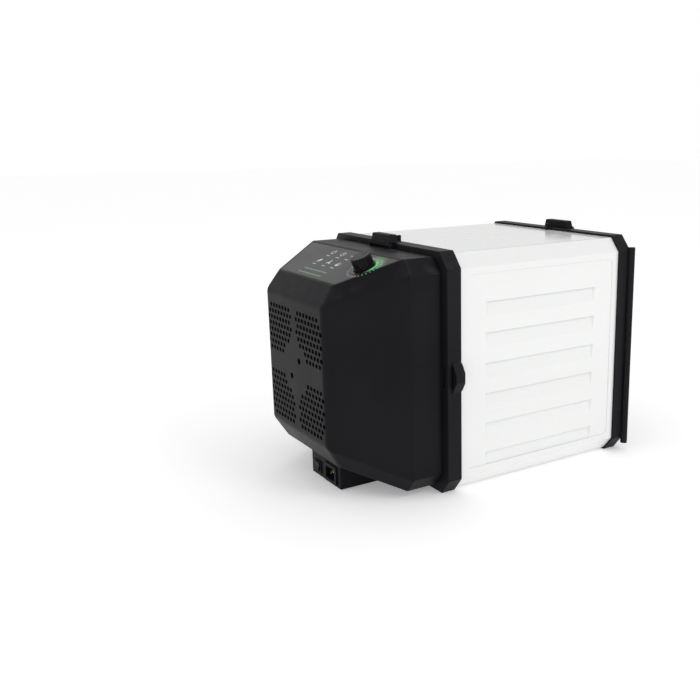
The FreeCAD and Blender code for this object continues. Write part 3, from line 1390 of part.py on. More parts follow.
# ---- mains inlet ---------------------------------------------------------------------------
def inlet_housing():
    """Box under the cover that carries the mains inlet and the switch."""
    w = HOUSING_WALL
    z0 = HOUSING_LIFT
    outer = box(HOUSING_X0, HOUSING_X1, HOUSING_Y0, HOUSING_Y1, z0, FACE_BOTTOM)
    edges = [e for e in outer.Edges if abs(e.Vertexes[0].Point.z - e.Vertexes[-1].Point.z) > 1]
    outer = outer.makeFillet(HOUSING_ROUND, edges)
    inner = box(HOUSING_X0 + w, HOUSING_X1 - w, HOUSING_Y0 + w, HOUSING_Y1 - w, z0 + w, FACE_BOTTOM)
    body = outer.cut(inner).cut(fan_cover_solid(0.0, 0.0, COVER_GAP))
    body = max(body.Solids, key=lambda s: s.Volume)
    wide, high, _ = INLET_BODY
    gap = INLET_CLEAR
    front = HOUSING_Y1
    inlet_hole = box(
        INLET_X - wide / 2 - gap, INLET_X + wide / 2 + gap, front - w - 1, front + 1,
        INLET_Z - high / 2 - gap, INLET_Z + high / 2 + gap,
    )
    case_x, case_z = switch_case_half()
    switch_hole = box(
        SWITCH_X - case_x - gap, SWITCH_X + case_x + gap, front - w - 1, front + 1,
        SWITCH_Z - case_z - gap, SWITCH_Z + case_z + gap,
    )
    return body.cut(inlet_hole).cut(switch_hole)


def keyed_outline(half_x, half_z, key):
    """Rectangle with its two upper corners cut, in X and Z about the inlet."""
    return [
        (INLET_X - half_x, INLET_Z - half_z), (INLET_X + half_x, INLET_Z - half_z),
        (INLET_X + half_x, INLET_Z + half_z - key), (INLET_X + half_x - key, INLET_Z + half_z),
        (INLET_X - half_x + key, INLET_Z + half_z), (INLET_X - half_x, INLET_Z + half_z - key),
    ]


def power_inlet():
    front = HOUSING_Y1
    flange_w, flange_h, flange_t = INLET_FLANGE
    wide, high, depth = INLET_BODY
    recess_w, recess_h, recess_d = INLET_RECESS
    flange = box(
        INLET_X - flange_w / 2, INLET_X + flange_w / 2, front, front + flange_t,
        INLET_Z - flange_h / 2, INLET_Z + flange_h / 2,
    )
    corners = [e for e in flange.Edges if abs(e.Vertexes[0].Point.y - e.Vertexes[-1].Point.y) > 1]
    flange = flange.makeFillet(INLET_ROUND, corners)
    body = box(
        INLET_X - wide / 2, INLET_X + wide / 2, front - depth, front,
        INLET_Z - high / 2, INLET_Z + high / 2,
    )
    recess = prism_y(
        keyed_outline(recess_w / 2, recess_h / 2, INLET_KEY), front + flange_t - recess_d, front + flange_t,
    )
    whole = fuse_all([flange, body]).cut(recess)
    half_x = PIN_W / 2 + FIT_CLEAR
    half_z = PIN_H / 2 + FIT_CLEAR
    slots = [box(x - half_x, x + half_x, front - depth, front, z - half_z, z + half_z)
             for x, z in inlet_pin_spots()]
    return whole.cut(Part.makeCompound(slots))


def inlet_pin_spots():
    return [
        (INLET_X - PIN_PITCH, INLET_Z - PIN_RISE),
        (INLET_X + PIN_PITCH, INLET_Z - PIN_RISE),
        (INLET_X, INLET_Z + PIN_RISE),
    ]


def inlet_pins():
    front = HOUSING_Y1
    depth = INLET_BODY[2]
    tip = front + INLET_FLANGE[2] - PIN_SHORT
    return Part.makeCompound([
        box(x - PIN_W / 2, x + PIN_W / 2, front - depth - INLET_TAIL, tip, z - PIN_H / 2, z + PIN_H / 2)
        for x, z in inlet_pin_spots()
    ])


def switch_case_half():
    return SWITCH_MOUTH[0] / 2 + SWITCH_WALL, SWITCH_MOUTH[1] / 2 + SWITCH_WALL


def switch_bezel():
    front = HOUSING_Y1
    bezel_w, bezel_h, bezel_t = SWITCH_BEZEL
    case_x, case_z = switch_case_half()
    bezel = box(
        SWITCH_X - bezel_w / 2, SWITCH_X + bezel_w / 2, front, front + bezel_t,
        SWITCH_Z - bezel_h / 2, SWITCH_Z + bezel_h / 2,
    )
    case = box(
        SWITCH_X - case_x, SWITCH_X + case_x, front - SWITCH_DEPTH, front,
        SWITCH_Z - case_z, SWITCH_Z + case_z,
    )
    mouth = box(
        SWITCH_X - SWITCH_MOUTH[0] / 2, SWITCH_X + SWITCH_MOUTH[0] / 2, front - SWITCH_DEPTH + SWITCH_WALL,
        front + bezel_t, SWITCH_Z - SWITCH_MOUTH[1] / 2, SWITCH_Z + SWITCH_MOUTH[1] / 2,
    )
    pin_start = Vec(SWITCH_X - case_x, front - ROCKER_PIVOT_IN, SWITCH_Z)
    pin_hole = rod(ROCKER_PIN_R + FIT_CLEAR, pin_start, Vec(1, 0, 0), 2 * case_x)
    return fuse_all([bezel, case]).cut(mouth).cut(pin_hole)


def switch_rocker():
    """Rocker with a shallow V face, stored tipped to off; it rocks on its own stub pins."""
    pivot = Vec(SWITCH_X, HOUSING_Y1 - ROCKER_PIVOT_IN, SWITCH_Z)
    half_x = SWITCH_MOUTH[0] / 2 - ROCKER_SIDE_CLEAR
    face = ROCKER_PIVOT_IN + SWITCH_BEZEL[2] + ROCKER_PROUD
    outline = [
        (-ROCKER_BACK, -ROCKER_HALF), (face, -ROCKER_HALF), (face - ROCKER_DISH, 0.0),
        (face, ROCKER_HALF), (-ROCKER_BACK, ROCKER_HALF),
    ]
    moved = [(pivot.y + y, pivot.z + z) for y, z in outline]
    body = prism_x(moved, SWITCH_X - half_x, SWITCH_X + half_x)
    reach = SWITCH_MOUTH[0] / 2 + SWITCH_WALL - ROCKER_SIDE_CLEAR
    stub = rod(ROCKER_PIN_R, Vec(SWITCH_X - reach, pivot.y, pivot.z), Vec(1, 0, 0), 2 * reach)
    return fuse_all([body, stub]).rotate(pivot, Vec(1, 0, 0), ROCKER_TILT_DEG)


# ---- door ----------------------------------------------------------------------------------
def door_frame():
    """Ring of the door with its hinge knuckles, barbed tongue and latch ears."""
    outer = prism_y(cover_outline(), COVER_GAP, DOOR_DEPTH)
    rim = [e for e in outer.Edges if all(abs(v.Point.y - DOOR_DEPTH) < 1e-6 for v in e.Vertexes)]
    outer = outer.makeFillet(DOOR_ROUND, rim)
    window = prism_y(cover_outline(DOOR_RIM), COVER_GAP, DOOR_DEPTH)
    rebate_inset = DOOR_RIM - DOOR_REBATE
    rebate = prism_y(cover_outline(rebate_inset), COVER_GAP, door_plate_y() + DOOR_PLATE)
    hollow = prism_y(cover_outline(COVER_WALL), COVER_GAP, DOOR_DEPTH - COVER_WALL)
    core = prism_y(cover_outline(rebate_inset - COVER_WALL), COVER_GAP, DOOR_DEPTH - COVER_WALL)
    body = outer.cut(window).cut(rebate).cut(hollow.cut(core))
    body = fuse_all([body, latch_tongue()] + cover_hinge_parts() + latch_ears())
    return body.cut(Part.makeCompound([hinge_bore(), top_latch_bore()]))


def door_plate_y():
    return COVER_GAP + DOOR_PLATE_IN


def vent_wire(x, y, z):
    """Level slot with round ends in a plane of constant y."""
    r = DOOR_VENT_H / 2
    s = DOOR_VENT_W / 2 - r
    return Part.Wire([
        Part.makeLine(Vec(x - s, y, z - r), Vec(x + s, y, z - r)),
        Part.Arc(Vec(x + s, y, z - r), Vec(x + s + r, y, z), Vec(x + s, y, z + r)).toShape(),
        Part.makeLine(Vec(x + s, y, z + r), Vec(x - s, y, z + r)),
        Part.Arc(Vec(x - s, y, z + r), Vec(x - s - r, y, z), Vec(x - s, y, z - r)).toShape(),
    ])


def door_panel():
    """Vented plate held in the door frame's rebate."""
    y0 = door_plate_y()
    outline = cover_outline(DOOR_RIM - DOOR_REBATE + DOOR_REBATE_CLEAR)
    wires = [polygon([Vec(x, y0, z) for x, z in outline])]
    for row in range(DOOR_VENT_ROWS):
        z = MID_Z + (row - (DOOR_VENT_ROWS - 1) / 2) * DOOR_VENT_PITCH_Z
        for column in range(DOOR_VENT_COLUMNS):
            x = (column - (DOOR_VENT_COLUMNS - 1) / 2) * DOOR_VENT_PITCH_X
            wires.append(vent_wire(x, y0, z))
    return pierced_face(wires).extrude(Vec(0, DOOR_PLATE, 0))


# ---- build ---------------------------------------------------------------------------------
os.makedirs("parts", exist_ok=True)

frame_shape = end_frame()
tab_shape = side_latch()
thumb_shape = top_latch()
side_shape = side_panel()
tray_shape = tray(TRAY_FIRST_Z)
screw_shapes = [frame_screw(x, z) for x, z in frame_screw_spots()]

for end_name, place, cover_name in (("rear", at_rear, "fan_unit"), ("front", at_front, "door")):
    write(end_name + "_frame", place(frame_shape))
    write(end_name + "_hinge_pin", place(hinge_pin()))
    write(end_name + "_side_latch", place(tab_shape))
    write(end_name + "_side_latch_pin", place(side_latch_pin()))
    write(end_name + "_catch_peg", place(catch_peg()))
    write(cover_name + "_top_latch", place(thumb_shape))
    write(cover_name + "_top_latch_pin", place(top_latch_pin()))

all_screws = [place(shape) for place in (at_rear, at_front) for shape in screw_shapes]
write("frame_screws", Part.makeCompound(all_screws))
write("right_side_panel", side_shape)
write("left_side_panel", half_turn(side_shape))
write("top_panel", flat_panel(True))
write("bottom_panel", flat_panel(False))

for number in range(TRAY_COUNT):
    lifted = tray_shape.copy()
    lifted.translate(Vec(0, 0, number * TRAY_PITCH))
    write("tray_%d" % (number + 1), lifted)
write("drip_tray", drip_tray())

for name, shape in (
    ("fan_cover", fan_cover()),
    ("control_panel", control_panel()),
    ("dial_light_ring", dial_light_ring()),
    ("dial_knob", dial_knob()),
    ("dial_shaft", dial_shaft()),
    ("dial_encoder", dial_encoder()),
    ("circuit_board", circuit_board()),
    ("board_components", board_components()),
    ("board_screws", board_screws()),
    ("fan_shroud", fan_shroud()),
    ("shroud_screws", shroud_screws()),
    ("fan_motor", fan_motor()),
    ("motor_screws", motor_screws()),
    ("fan_rotor", fan_rotor()),
    ("rotor_shaft", rotor_shaft()),
    ("heater_element", heater_element()),
    ("heater_bracket", heater_bracket()),
    ("thermal_cutout", thermal_cutout()),
    ("air_guard", air_guard()),
    ("guard_screws", guard_screws()),
    ("inlet_housing", inlet_housing()),
    ("power_inlet", power_inlet()),
    ("inlet_pins", inlet_pins()),
    ("switch_bezel", switch_bezel()),
    ("switch_rocker", switch_rocker()),
):
    write(name, at_rear(shape))

write("door_frame", at_front(door_frame()))
write("door_panel", at_front(door_panel()))
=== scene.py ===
import json
import math

import bpy
from mathutils import Matrix, Vector


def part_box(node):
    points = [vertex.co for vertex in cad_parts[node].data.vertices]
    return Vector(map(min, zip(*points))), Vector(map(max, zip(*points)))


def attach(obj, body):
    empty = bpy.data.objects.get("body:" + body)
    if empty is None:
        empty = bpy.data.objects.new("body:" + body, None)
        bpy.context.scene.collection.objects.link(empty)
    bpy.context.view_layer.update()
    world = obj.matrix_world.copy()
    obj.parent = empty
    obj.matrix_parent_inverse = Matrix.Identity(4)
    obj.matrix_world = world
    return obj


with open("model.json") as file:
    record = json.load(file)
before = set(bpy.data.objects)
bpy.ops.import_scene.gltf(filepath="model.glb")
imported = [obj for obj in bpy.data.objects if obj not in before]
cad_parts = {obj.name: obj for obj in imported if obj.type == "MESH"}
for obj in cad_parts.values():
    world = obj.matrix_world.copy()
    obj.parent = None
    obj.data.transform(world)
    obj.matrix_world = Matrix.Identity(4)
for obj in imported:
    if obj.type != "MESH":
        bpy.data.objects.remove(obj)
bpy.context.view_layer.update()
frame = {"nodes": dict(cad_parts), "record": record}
MM = 0.001
JOINTS = {joint["name"]: joint for joint in frame["record"]["behaviour"]["joints"]}


# ---- the control panel's axes ----------------------------------------------------------------
PANEL_OUT = Vector(JOINTS["dial_turn"]["axis"]).normalized()
PANEL_ACROSS = Vector((-1.0, 0.0, 0.0))
PANEL_UP = PANEL_OUT.cross(PANEL_ACROSS)
DIAL_CENTRE = Vector(JOINTS["dial_turn"]["pos_m"])
PANEL_AXES = Matrix((PANEL_ACROSS, PANEL_UP, PANEL_OUT)).transposed()
ON_PANEL = Matrix.Translation(DIAL_CENTRE) @ PANEL_AXES.to_4x4()


# ---- node graphs -----------------------------------------------------------------------------
class Value:
    """A number that varies over a surface or along a row. Sums on it add Math nodes to its graph."""

    def __init__(self, graph, socket):
        self.graph = graph
        self.socket = socket

    def __add__(self, other):
        return self.graph.maths("ADD", self, other)

    def __sub__(self, other):
        return self.graph.maths("SUBTRACT", self, other)

    def __mul__(self, other):
        return self.graph.maths("MULTIPLY", self, other)

    def __truediv__(self, other):
        return self.graph.maths("DIVIDE", self, other)

    def __rsub__(self, other):
        return self.graph.maths("SUBTRACT", other, self)

    def __rtruediv__(self, other):
        return self.graph.maths("DIVIDE", other, self)

    def __gt__(self, other):
        return self.graph.maths("GREATER_THAN", self, other)

    def __lt__(self, other):
        return self.graph.maths("LESS_THAN", self, other)

    __radd__ = __add__
    __rmul__ = __mul__

    def ease(self, low, high):
        """0 below low, 1 above high and a soft step between them."""
        settings = {"interpolation_type": "SMOOTHSTEP"}
        node = self.graph.add("ShaderNodeMapRange", settings, {"Value": self, 1: low, 2: high})
        return Value(self.graph, node.outputs[0])


class Graph:
    """Adds nodes to a shader tree or a Geometry Nodes tree."""

    def __init__(self, tree):
        self.tree = tree

    def add(self, kind, settings=None, inputs=None):
        node = self.tree.nodes.new(kind)
        for key, value in (settings or {}).items():
            setattr(node, key, value)
        pairs = inputs.items() if isinstance(inputs, dict) else enumerate(inputs or ())
        for key, value in pairs:
            self.feed(node.inputs[key], value)
        return node

    def feed(self, socket, value):
        value = getattr(value, "socket", value)
        if isinstance(value, bpy.types.NodeSocket):
            self.tree.links.new(value, socket)
        else:
            socket.default_value = value

    def maths(self, operation, *values):
        return Value(self, self.add("ShaderNodeMath", {"operation": operation}, values).outputs[0])

    def vector(self, operation, *values):
        return self.add("ShaderNodeVectorMath", {"operation": operation}, values)


class Finish(Graph):
    """A material being built: a Principled surface and what varies over it."""

    def __init__(self, name, **uniform):
        self.material = bpy.data.materials.new(name)
        self.material.use_nodes = True
        super().__init__(self.material.node_tree)
        self.surface = self.tree.nodes["Principled BSDF"]
        self.place = self.add("ShaderNodeTexCoord").outputs["Object"]
        for key, value in uniform.items():
            self.surface.inputs[key.replace("_", " ")].default_value = value

    def part(self, axis):
        """One coordinate of the place on the surface."""
        return Value(self, self.add("ShaderNodeSeparateXYZ", {}, [self.place]).outputs[axis])

    def from_dial(self):
        """The way from the dial's middle to the place on the surface."""
        return self.vector("SUBTRACT", self.place, tuple(DIAL_CENTRE)).outputs[0]

    def stretched(self, x, y, z):
        node = self.add("ShaderNodeMapping", {}, {"Vector": self.place, "Scale": (x, y, z)})
        return node.outputs[0]

    def noise(self, scale, detail=2.0, place=None, seed=0.0):
        inputs = {"Vector": place or self.place, "Scale": scale, "Detail": detail, "W": seed}
        node = self.add("ShaderNodeTexNoise", {"noise_dimensions": "4D"}, inputs)
        return Value(self, node.outputs["Fac"])

    def cells(self, scale, place=None):
        inputs = {"Vector": place or self.place, "Scale": scale}
        return Value(self, self.add("ShaderNodeTexVoronoi", {}, inputs).outputs["Distance"])

    def blend(self, share, first, second):
        """A colour between two colours."""
        inputs = {0: share, 6: rgba(first), 7: rgba(second)}
        return self.add("ShaderNodeMix", {"data_type": "RGBA"}, inputs).outputs[2]

    def rounded(self, radius):
        """The surface's direction with its sharp edges softened, and how near an edge is."""
        soft = self.add("ShaderNodeBevel", {"samples": 6}, {"Radius": radius}).outputs[0]
        sharp = self.add("ShaderNodeNewGeometry").outputs["Normal"]
        facing = Value(self, self.vector("DOT_PRODUCT", soft, sharp).outputs["Value"])
        return soft, (1.0 - facing).ease(0.02, 0.22)

    def upward(self):
        """How far the surface faces the ceiling."""
        normal = self.add("ShaderNodeNewGeometry").outputs["Normal"]
        split = self.add("ShaderNodeSeparateXYZ", {}, [normal])
        return Value(self, split.outputs["Z"]).ease(0.3, 0.95)

    def dents(self, height, depth, normal):
        inputs = {"Strength": 1.0, "Distance": depth, "Height": height, "Normal": normal}
        return self.add("ShaderNodeBump", {}, inputs).outputs[0]

    def done(self, **varying):
        for key, value in varying.items():
            self.feed(self.surface.inputs[key.replace("_", " ")], value)
        return self.material


def rgba(colour):
    return colour if isinstance(colour, bpy.types.NodeSocket) else (*colour, 1.0)


def shade(colour, share):
    return [min(1.0, channel * share) for channel in colour]


# ---- finishes --------------------------------------------------------------------------------
DUST = (0.5, 0.49, 0.47)
MATT_BLACK = (0.0055, 0.0055, 0.0054)
MATT_FADE = 4 * MM


def satin_plastic(name, colour, worn, rough, grain, depth, edge=0.5 * MM, coat=0.0, matt_face=None):
    """Moulded plastic with a spark-eroded grain, handling marks, light dust and rubbed edges.

    What lies beyond matt_face along Y takes the matt black of the intake face.
    """
    finish = Finish(name, Specular_IOR_Level=0.07, Coat_Weight=coat, Coat_Roughness=0.12)
    normal, near_edge = finish.rounded(edge)
    if matt_face:
        at_face = finish.part("Y").ease(matt_face - MATT_FADE, matt_face)
        colour = finish.blend(at_face, colour, MATT_BLACK)
    fine = finish.noise(grain, 3.0)
    coarse = finish.noise(grain * 0.31, 2.0, seed=3.0)
    cloud = finish.noise(7.0, 4.0, seed=7.0).ease(0.32, 0.7)
    smudge = finish.noise(26.0, 5.0, seed=11.0).ease(0.5, 0.72)
    dust = finish.upward() * finish.noise(60.0, 6.0, seed=2.0).ease(0.42, 0.8)
    tint = finish.blend(cloud * 0.10 + fine * 0.08, colour, worn)
    tint = finish.blend(dust * 0.06, tint, DUST)
    tint = finish.blend(near_edge * (0.3 + 0.5 * smudge), tint, worn)
    gloss = rough + 0.05 * cloud - 0.07 * smudge + 0.12 * dust - 0.08 * near_edge
    return finish.done(
        Base_Color=tint, Roughness=gloss, Normal=finish.dents(fine + 0.6 * coarse, depth, normal)
    )


def white_plastic(name, colour, rough, edge=0.5 * MM, waves=0.00012):
    """Glossy moulded sheet: faint flow lines, a gentle ripple and fine wiping scratches."""
    finish = Finish(name, Specular_IOR_Level=0.5, Subsurface_Weight=0.06, Subsurface_Scale=0.004)
    normal, near_edge = finish.rounded(edge)
    flow = finish.noise(5.0, 3.0, finish.stretched(1.0, 0.22, 1.6))
    ripple = finish.noise(13.0, 2.0, seed=4.0)
    grain = finish.noise(1400.0, 2.0, seed=9.0)
    scratch = finish.noise(34.0, 8.0, finish.stretched(1.0, 9.0, 2.2), seed=5.0).ease(0.6, 0.66)
    dust = finish.upward() * finish.noise(48.0, 6.0, seed=6.0).ease(0.45, 0.85)
    tint = finish.blend(flow.ease(0.3, 0.7), colour, shade(colour, 0.975))
    tint = finish.blend(dust * 0.10 + near_edge * 0.06, tint, (0.60, 0.60, 0.58))
    gloss = rough + 0.05 * flow + 0.10 * scratch + 0.12 * dust
    height = ripple + 0.05 * grain + 0.08 * scratch
    return finish.done(Base_Color=tint, Roughness=gloss, Normal=finish.dents(height, waves, normal))


def brushed_metal(name, colour, rough, along):
    """Drawn or turned metal with streaks along one direction and a little staining."""
    finish = Finish(name, Metallic=1.0)
    normal, near_edge = finish.rounded(0.3 * MM)
    streaks = finish.noise(420.0, 4.0, finish.stretched(*along))
    stain = finish.noise(55.0, 5.0, seed=8.0).ease(0.45, 0.8)
    tint = finish.blend(stain * 0.35, colour, shade(colour, 0.62))
    tint = finish.blend(near_edge * 0.5, tint, shade(colour, 1.3))
    gloss = rough + 0.16 * streaks + 0.12 * stain
    return finish.done(Base_Color=tint, Roughness=gloss, Normal=finish.dents(streaks, 0.00002, normal))


def panel_plastic():
    """The control panel's film: dark grey-green, fine speckle, and a painted glow of the dial's green
    light on it.
    """
    finish = Finish("panel_film", Specular_IOR_Level=0.35, Emission_Strength=1.0)
    normal, near_edge = finish.rounded(0.3 * MM)
    speckle = finish.noise(900.0, 2.0)
    cloud = finish.noise(9.0, 4.0, seed=5.0).ease(0.3, 0.75)
    away = finish.from_dial()
    reach = Value(finish, finish.vector("LENGTH", away).outputs["Value"])
    uphill = Value(finish, finish.vector("DOT_PRODUCT", away, tuple(PANEL_UP)).outputs["Value"])
    # painted light: a pool of the dial ring's green light, painted into the film's colour and emission
    # on the uphill side near the dial
    painted_glow = (1.0 - reach.ease(17.0 * MM, 33.0 * MM)) * uphill.ease(-12.0 * MM, 10.0 * MM)
    tint = finish.blend(cloud * 0.5 + speckle * 0.3, (0.022, 0.025, 0.022), (0.036, 0.039, 0.035))
    tint = finish.blend(painted_glow * 0.75, tint, (0.16, 0.32, 0.17))
    light = finish.blend(painted_glow, (0.0, 0.0, 0.0), (0.02, 0.09, 0.03))
    gloss = 0.34 + 0.10 * cloud - 0.06 * near_edge
    return finish.done(
        Base_Color=tint, Emission_Color=light, Roughness=gloss,
        Normal=finish.dents(speckle, 0.00001, normal),
    )


def lit_plastic(name, colour, strength):
    """Smoked plastic with a lamp behind one side of it, brighter in patches."""
    finish = Finish(name, Roughness=0.25, Emission_Strength=strength)
    patch = finish.noise(120.0, 3.0).ease(0.3, 0.7)
    lamp = PANEL_ACROSS + 0.55 * PANEL_UP
    along = finish.vector("DOT_PRODUCT", finish.from_dial(), tuple(lamp)).outputs["Value"]
    lit = Value(finish, along).ease(5.0 * MM, 19.0 * MM)
    bright = finish.blend(patch, shade(colour, 0.55), colour)
    tint = finish.blend(lit, (0.010, 0.013, 0.010), bright)
    return finish.done(Base_Color=tint, Emission_Color=finish.blend(lit, (0.0, 0.0, 0.0), tint))


def printed_ink(name, colour):
    """Screen-printed ink, thinner in patches."""
    finish = Finish(name, Specular_IOR_Level=0.4)
    patchy = finish.noise(700.0, 3.0).ease(0.35, 0.75)
    tint = finish.blend(patchy * 0.4, colour, shade(colour, 0.7))
    return finish.done(Base_Color=tint, Roughness=0.5 + 0.1 * patchy)


def board_lacquer():
    """Green board with copper tracks showing as paler lines and tinned dots."""
    finish = Finish("board_lacquer", Specular_IOR_Level=0.5)
    weave = finish.noise(1500.0, 1.0)
    maze = finish.cells(120.0, finish.stretched(1.0, 0.35, 0.35))
    tracks = maze.ease(0.42, 0.46) * (1.0 - maze.ease(0.52, 0.56))
    dots = 1.0 - finish.cells(260.0).ease(0.12, 0.16)
    tint = finish.blend(weave * 0.4, (0.010, 0.075, 0.022), (0.018, 0.110, 0.034))
    tint = finish.blend(tracks * 0.8, tint, (0.035, 0.20, 0.065))
    tint = finish.blend(dots, tint, (0.55, 0.55, 0.52))
    return finish.done(Base_Color=tint, Roughness=0.3 + 0.15 * weave, Metallic=dots)


RELAY_END = -10 * MM
TRANSFORMER_END = -42 * MM


def component_cases():
    """Blue relay, taped transformer and black capacitor, by where they stand across the board."""
    finish = Finish("component_cases", Specular_IOR_Level=0.5)
    across = finish.part("X")
    past_relay = across < RELAY_END
    past_transformer = across < TRANSFORMER_END
    grain = finish.noise(900.0, 3.0)
    tape = finish.noise(30.0, 4.0, finish.stretched(1.0, 6.0, 6.0))
    tint = finish.blend(grain * 0.5, (0.012, 0.05, 0.19), (0.02, 0.07, 0.25))
    tint = finish.blend(past_relay, tint, (0.62, 0.47, 0.07))
    tint = finish.blend(past_relay * tape * 0.5, tint, (0.30, 0.22, 0.05))
    tint = finish.blend(past_transformer, tint, (0.02, 0.02, 0.025))
    return finish.done(Base_Color=tint, Roughness=0.35 + 0.2 * grain)


def heater_tube(name):
    """Steel tube that has been red hot: straw, brown and blue-grey patches."""
    finish = Finish(name, Metallic=1.0)
    heat = finish.noise(24.0, 4.0, seed=3.0)
    scale = finish.noise(380.0, 4.0)
    tint = finish.blend(heat.ease(0.35, 0.6), (0.30, 0.24, 0.17), (0.20, 0.20, 0.23))
    tint = finish.blend(scale * 0.4, tint, (0.10, 0.085, 0.07))
    return finish.done(Base_Color=tint, Roughness=0.4 + 0.25 * scale)


# ---- shapes ----------------------------------------------------------------------------------
def piece(name, mesh, material, body):
    """Puts a finished mesh in the scene and lets it ride on a body."""
    mesh.name = name
    obj = bpy.data.objects.new(name, mesh)
    bpy.context.scene.collection.objects.link(obj)
    obj.data.materials.clear()
    obj.data.materials.append(material)
    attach(obj, body)
    return obj


def slabs(outlines, low, high):
    """One mesh of flat plates, each the extrusion of an outline between two heights."""
    points = []
    faces = []
    for outline in outlines:
        first = len(points)
        count = len(outline)
        points += [(x, y, low) for x, y in outline] + [(x, y, high) for x, y in outline]
        faces.append([first + n for n in reversed(range(count))])
        faces.append([first + count + n for n in range(count)])
        for n in range(count):
            after = (n + 1) % count
            faces.append([first + n, first + after, first + count + after, first + count + n])
    mesh = bpy.data.meshes.new("slabs")
    mesh.from_pydata(points, [], faces)
    return mesh


def bar(x, y, length, thick, turn=0.0):
    """Outline of a bar about its middle, turned by an angle in degrees."""
    a = math.radians(turn)
    corners = ((-length, -thick), (length, -thick), (length, thick), (-length, thick))
    return [
        (x + (u * math.cos(a) - v * math.sin(a)) / 2, y + (u * math.sin(a) + v * math.cos(a)) / 2)
        for u, v in corners
    ]


def blob(x, y, wide, high, sharp=1.0, turn=0.0, steps=20):
    """Outline of an oval, drawn in towards its two ends when sharp is above 1."""
    a = math.radians(turn)
    outline = []
    for n in range(steps):
        t = 2 * math.pi * n / steps
        u = wide / 2 * math.cos(t)
        v = high / 2 * math.copysign(abs(math.sin(t)) ** sharp, math.sin(t))
        outline.append((x + u * math.cos(a) - v * math.sin(a), y + u * math.sin(a) + v * math.cos(a)))
    return outline


def arc_band(x, y, inner, outer, start, sweep, steps=24):
    """Quadrilaterals along a band of a circle."""
    def at(radius, step):
        a = math.radians(start + sweep * step / steps)
        return (x + radius * math.cos(a), y + radius * math.sin(a))

    return [[at(inner, n), at(outer, n), at(outer, n + 1), at(inner, n + 1)] for n in range(steps)]


def scaled(outlines):
    """Outlines in metres from outlines in millimetres."""
    return [[(x * MM, y * MM) for x, y in outline] for outline in outlines]


# ---- Geometry Nodes --------------------------------------------------------------------------
class Maker(Graph):
    """A Geometry Nodes tree with named sizes, run once on an empty mesh to give a plain mesh."""

    def __init__(self, name, sizes, material):
        super().__init__(bpy.data.node_groups.new(name, "GeometryNodeTree"))
        self.sizes = sizes
        self.material = material
        self.keys = {}
        for size, value in sizes.items():
            kind = "NodeSocketInt" if isinstance(value, int) else "NodeSocketFloat"
            socket = self.tree.interface.new_socket(size, in_out="INPUT", socket_type=kind)
            self.keys[size] = socket.identifier
        self.tree.interface.new_socket("Geometry", in_out="OUTPUT", socket_type="NodeSocketGeometry")
        self.given = self.add("NodeGroupInput")

    def size(self, name):
        return Value(self, self.given.outputs[name])

    def index(self):
        return Value(self, self.add("GeometryNodeInputIndex").outputs[0])

    def point(self, x, y, z):
        return self.add("ShaderNodeCombineXYZ", {}, [x, y, z]).outputs[0]

    def block(self, x, y, z):
        return self.add("GeometryNodeMeshCube", {}, {"Size": self.point(x, y, z)}).outputs["Mesh"]

    def row(self, count, position, shape, turn=None):
        """Copies of a shape, one at each of count points."""
        line = self.add("GeometryNodeMeshLine", {}, {"Count": count}).outputs["Mesh"]
        line = self.add("GeometryNodeSetPosition", {}, {"Geometry": line, "Position": position})
        inputs = {"Points": line.outputs[0], "Instance": shape}
        if turn is not None:
            inputs["Rotation"] = turn
        return self.add("GeometryNodeInstanceOnPoints", {}, inputs).outputs[0]

    def mesh(self, *shapes):
        joined = self.add("GeometryNodeJoinGeometry")
        for shape in shapes:
            self.tree.links.new(shape, joined.inputs[0])
        real = self.add("GeometryNodeRealizeInstances", {}, [joined.outputs[0]])
        inputs = {"Geometry": real.outputs[0], "Material": self.material}
        coloured = self.add("GeometryNodeSetMaterial", {}, inputs)
        self.add("NodeGroupOutput", {}, [coloured.outputs[0]])
        carrier = bpy.data.objects.new("carrier", bpy.data.meshes.new("carrier"))
        bpy.context.scene.collection.objects.link(carrier)
        modifier = carrier.modifiers.new("make", "NODES")
        modifier.node_group = self.tree
        for size, value in self.sizes.items():
            modifier[self.keys[size]] = value
        seen = carrier.evaluated_get(bpy.context.evaluated_depsgraph_get())
        made = bpy.data.meshes.new_from_object(seen)
        carrier.modifiers.clear()
        bpy.data.objects.remove(carrier)
        return made


def ticks(name, count, radius, length, width, thick, start, sweep, material):
    """Marks on a circle, each pointing at its middle."""
    sizes = {"Count": count, "Radius": radius, "Length": length, "Width": width, "Thick": thick,
             "Start": math.radians(start), "Sweep": math.radians(sweep)}
    make = Maker(name, sizes, material)
    angle = make.size("Start") + make.size("Sweep") * make.index() / (make.size("Count") - 1.0)
    x = make.size("Radius") * make.maths("COSINE", angle)
    y = make.size("Radius") * make.maths("SINE", angle)
    mark = make.block(make.size("Length"), make.size("Width"), make.size("Thick"))
    place = make.point(x, y, make.size("Thick") * 0.5)
    return make.mesh(make.row(make.size("Count"), place, mark, make.point(0.0, 0.0, angle)))


def lattice(name, width, length, strands_x, strands_y, strand, height, material):
    """Two crossing sets of thin strands that fill a tray's floor."""
    sizes = {"Width": width, "Length": length, "Strands X": strands_x, "Strands Y": strands_y,
             "Strand": strand, "Height": height}
    make = Maker(name, sizes, material)
    step_x = make.size("Width") / make.size("Strands X")
    step_y = make.size("Length") / make.size("Strands Y")
    x = (make.index() + 0.5) * step_x - make.size("Width") * 0.5
    y = (make.index() + 0.5) * step_y - make.size("Length") * 0.5
    along_y = make.block(make.size("Strand"), make.size("Length"), make.size("Height"))
    along_x = make.block(make.size("Width"), make.size("Strand"), make.size("Height") * 0.8)
    rows = (
        make.row(make.size("Strands X"), make.point(x, 0.0, 0.0), along_y),
        make.row(make.size("Strands Y"), make.point(0.0, y, 0.0), along_x),
    )
    return make.mesh(*rows)


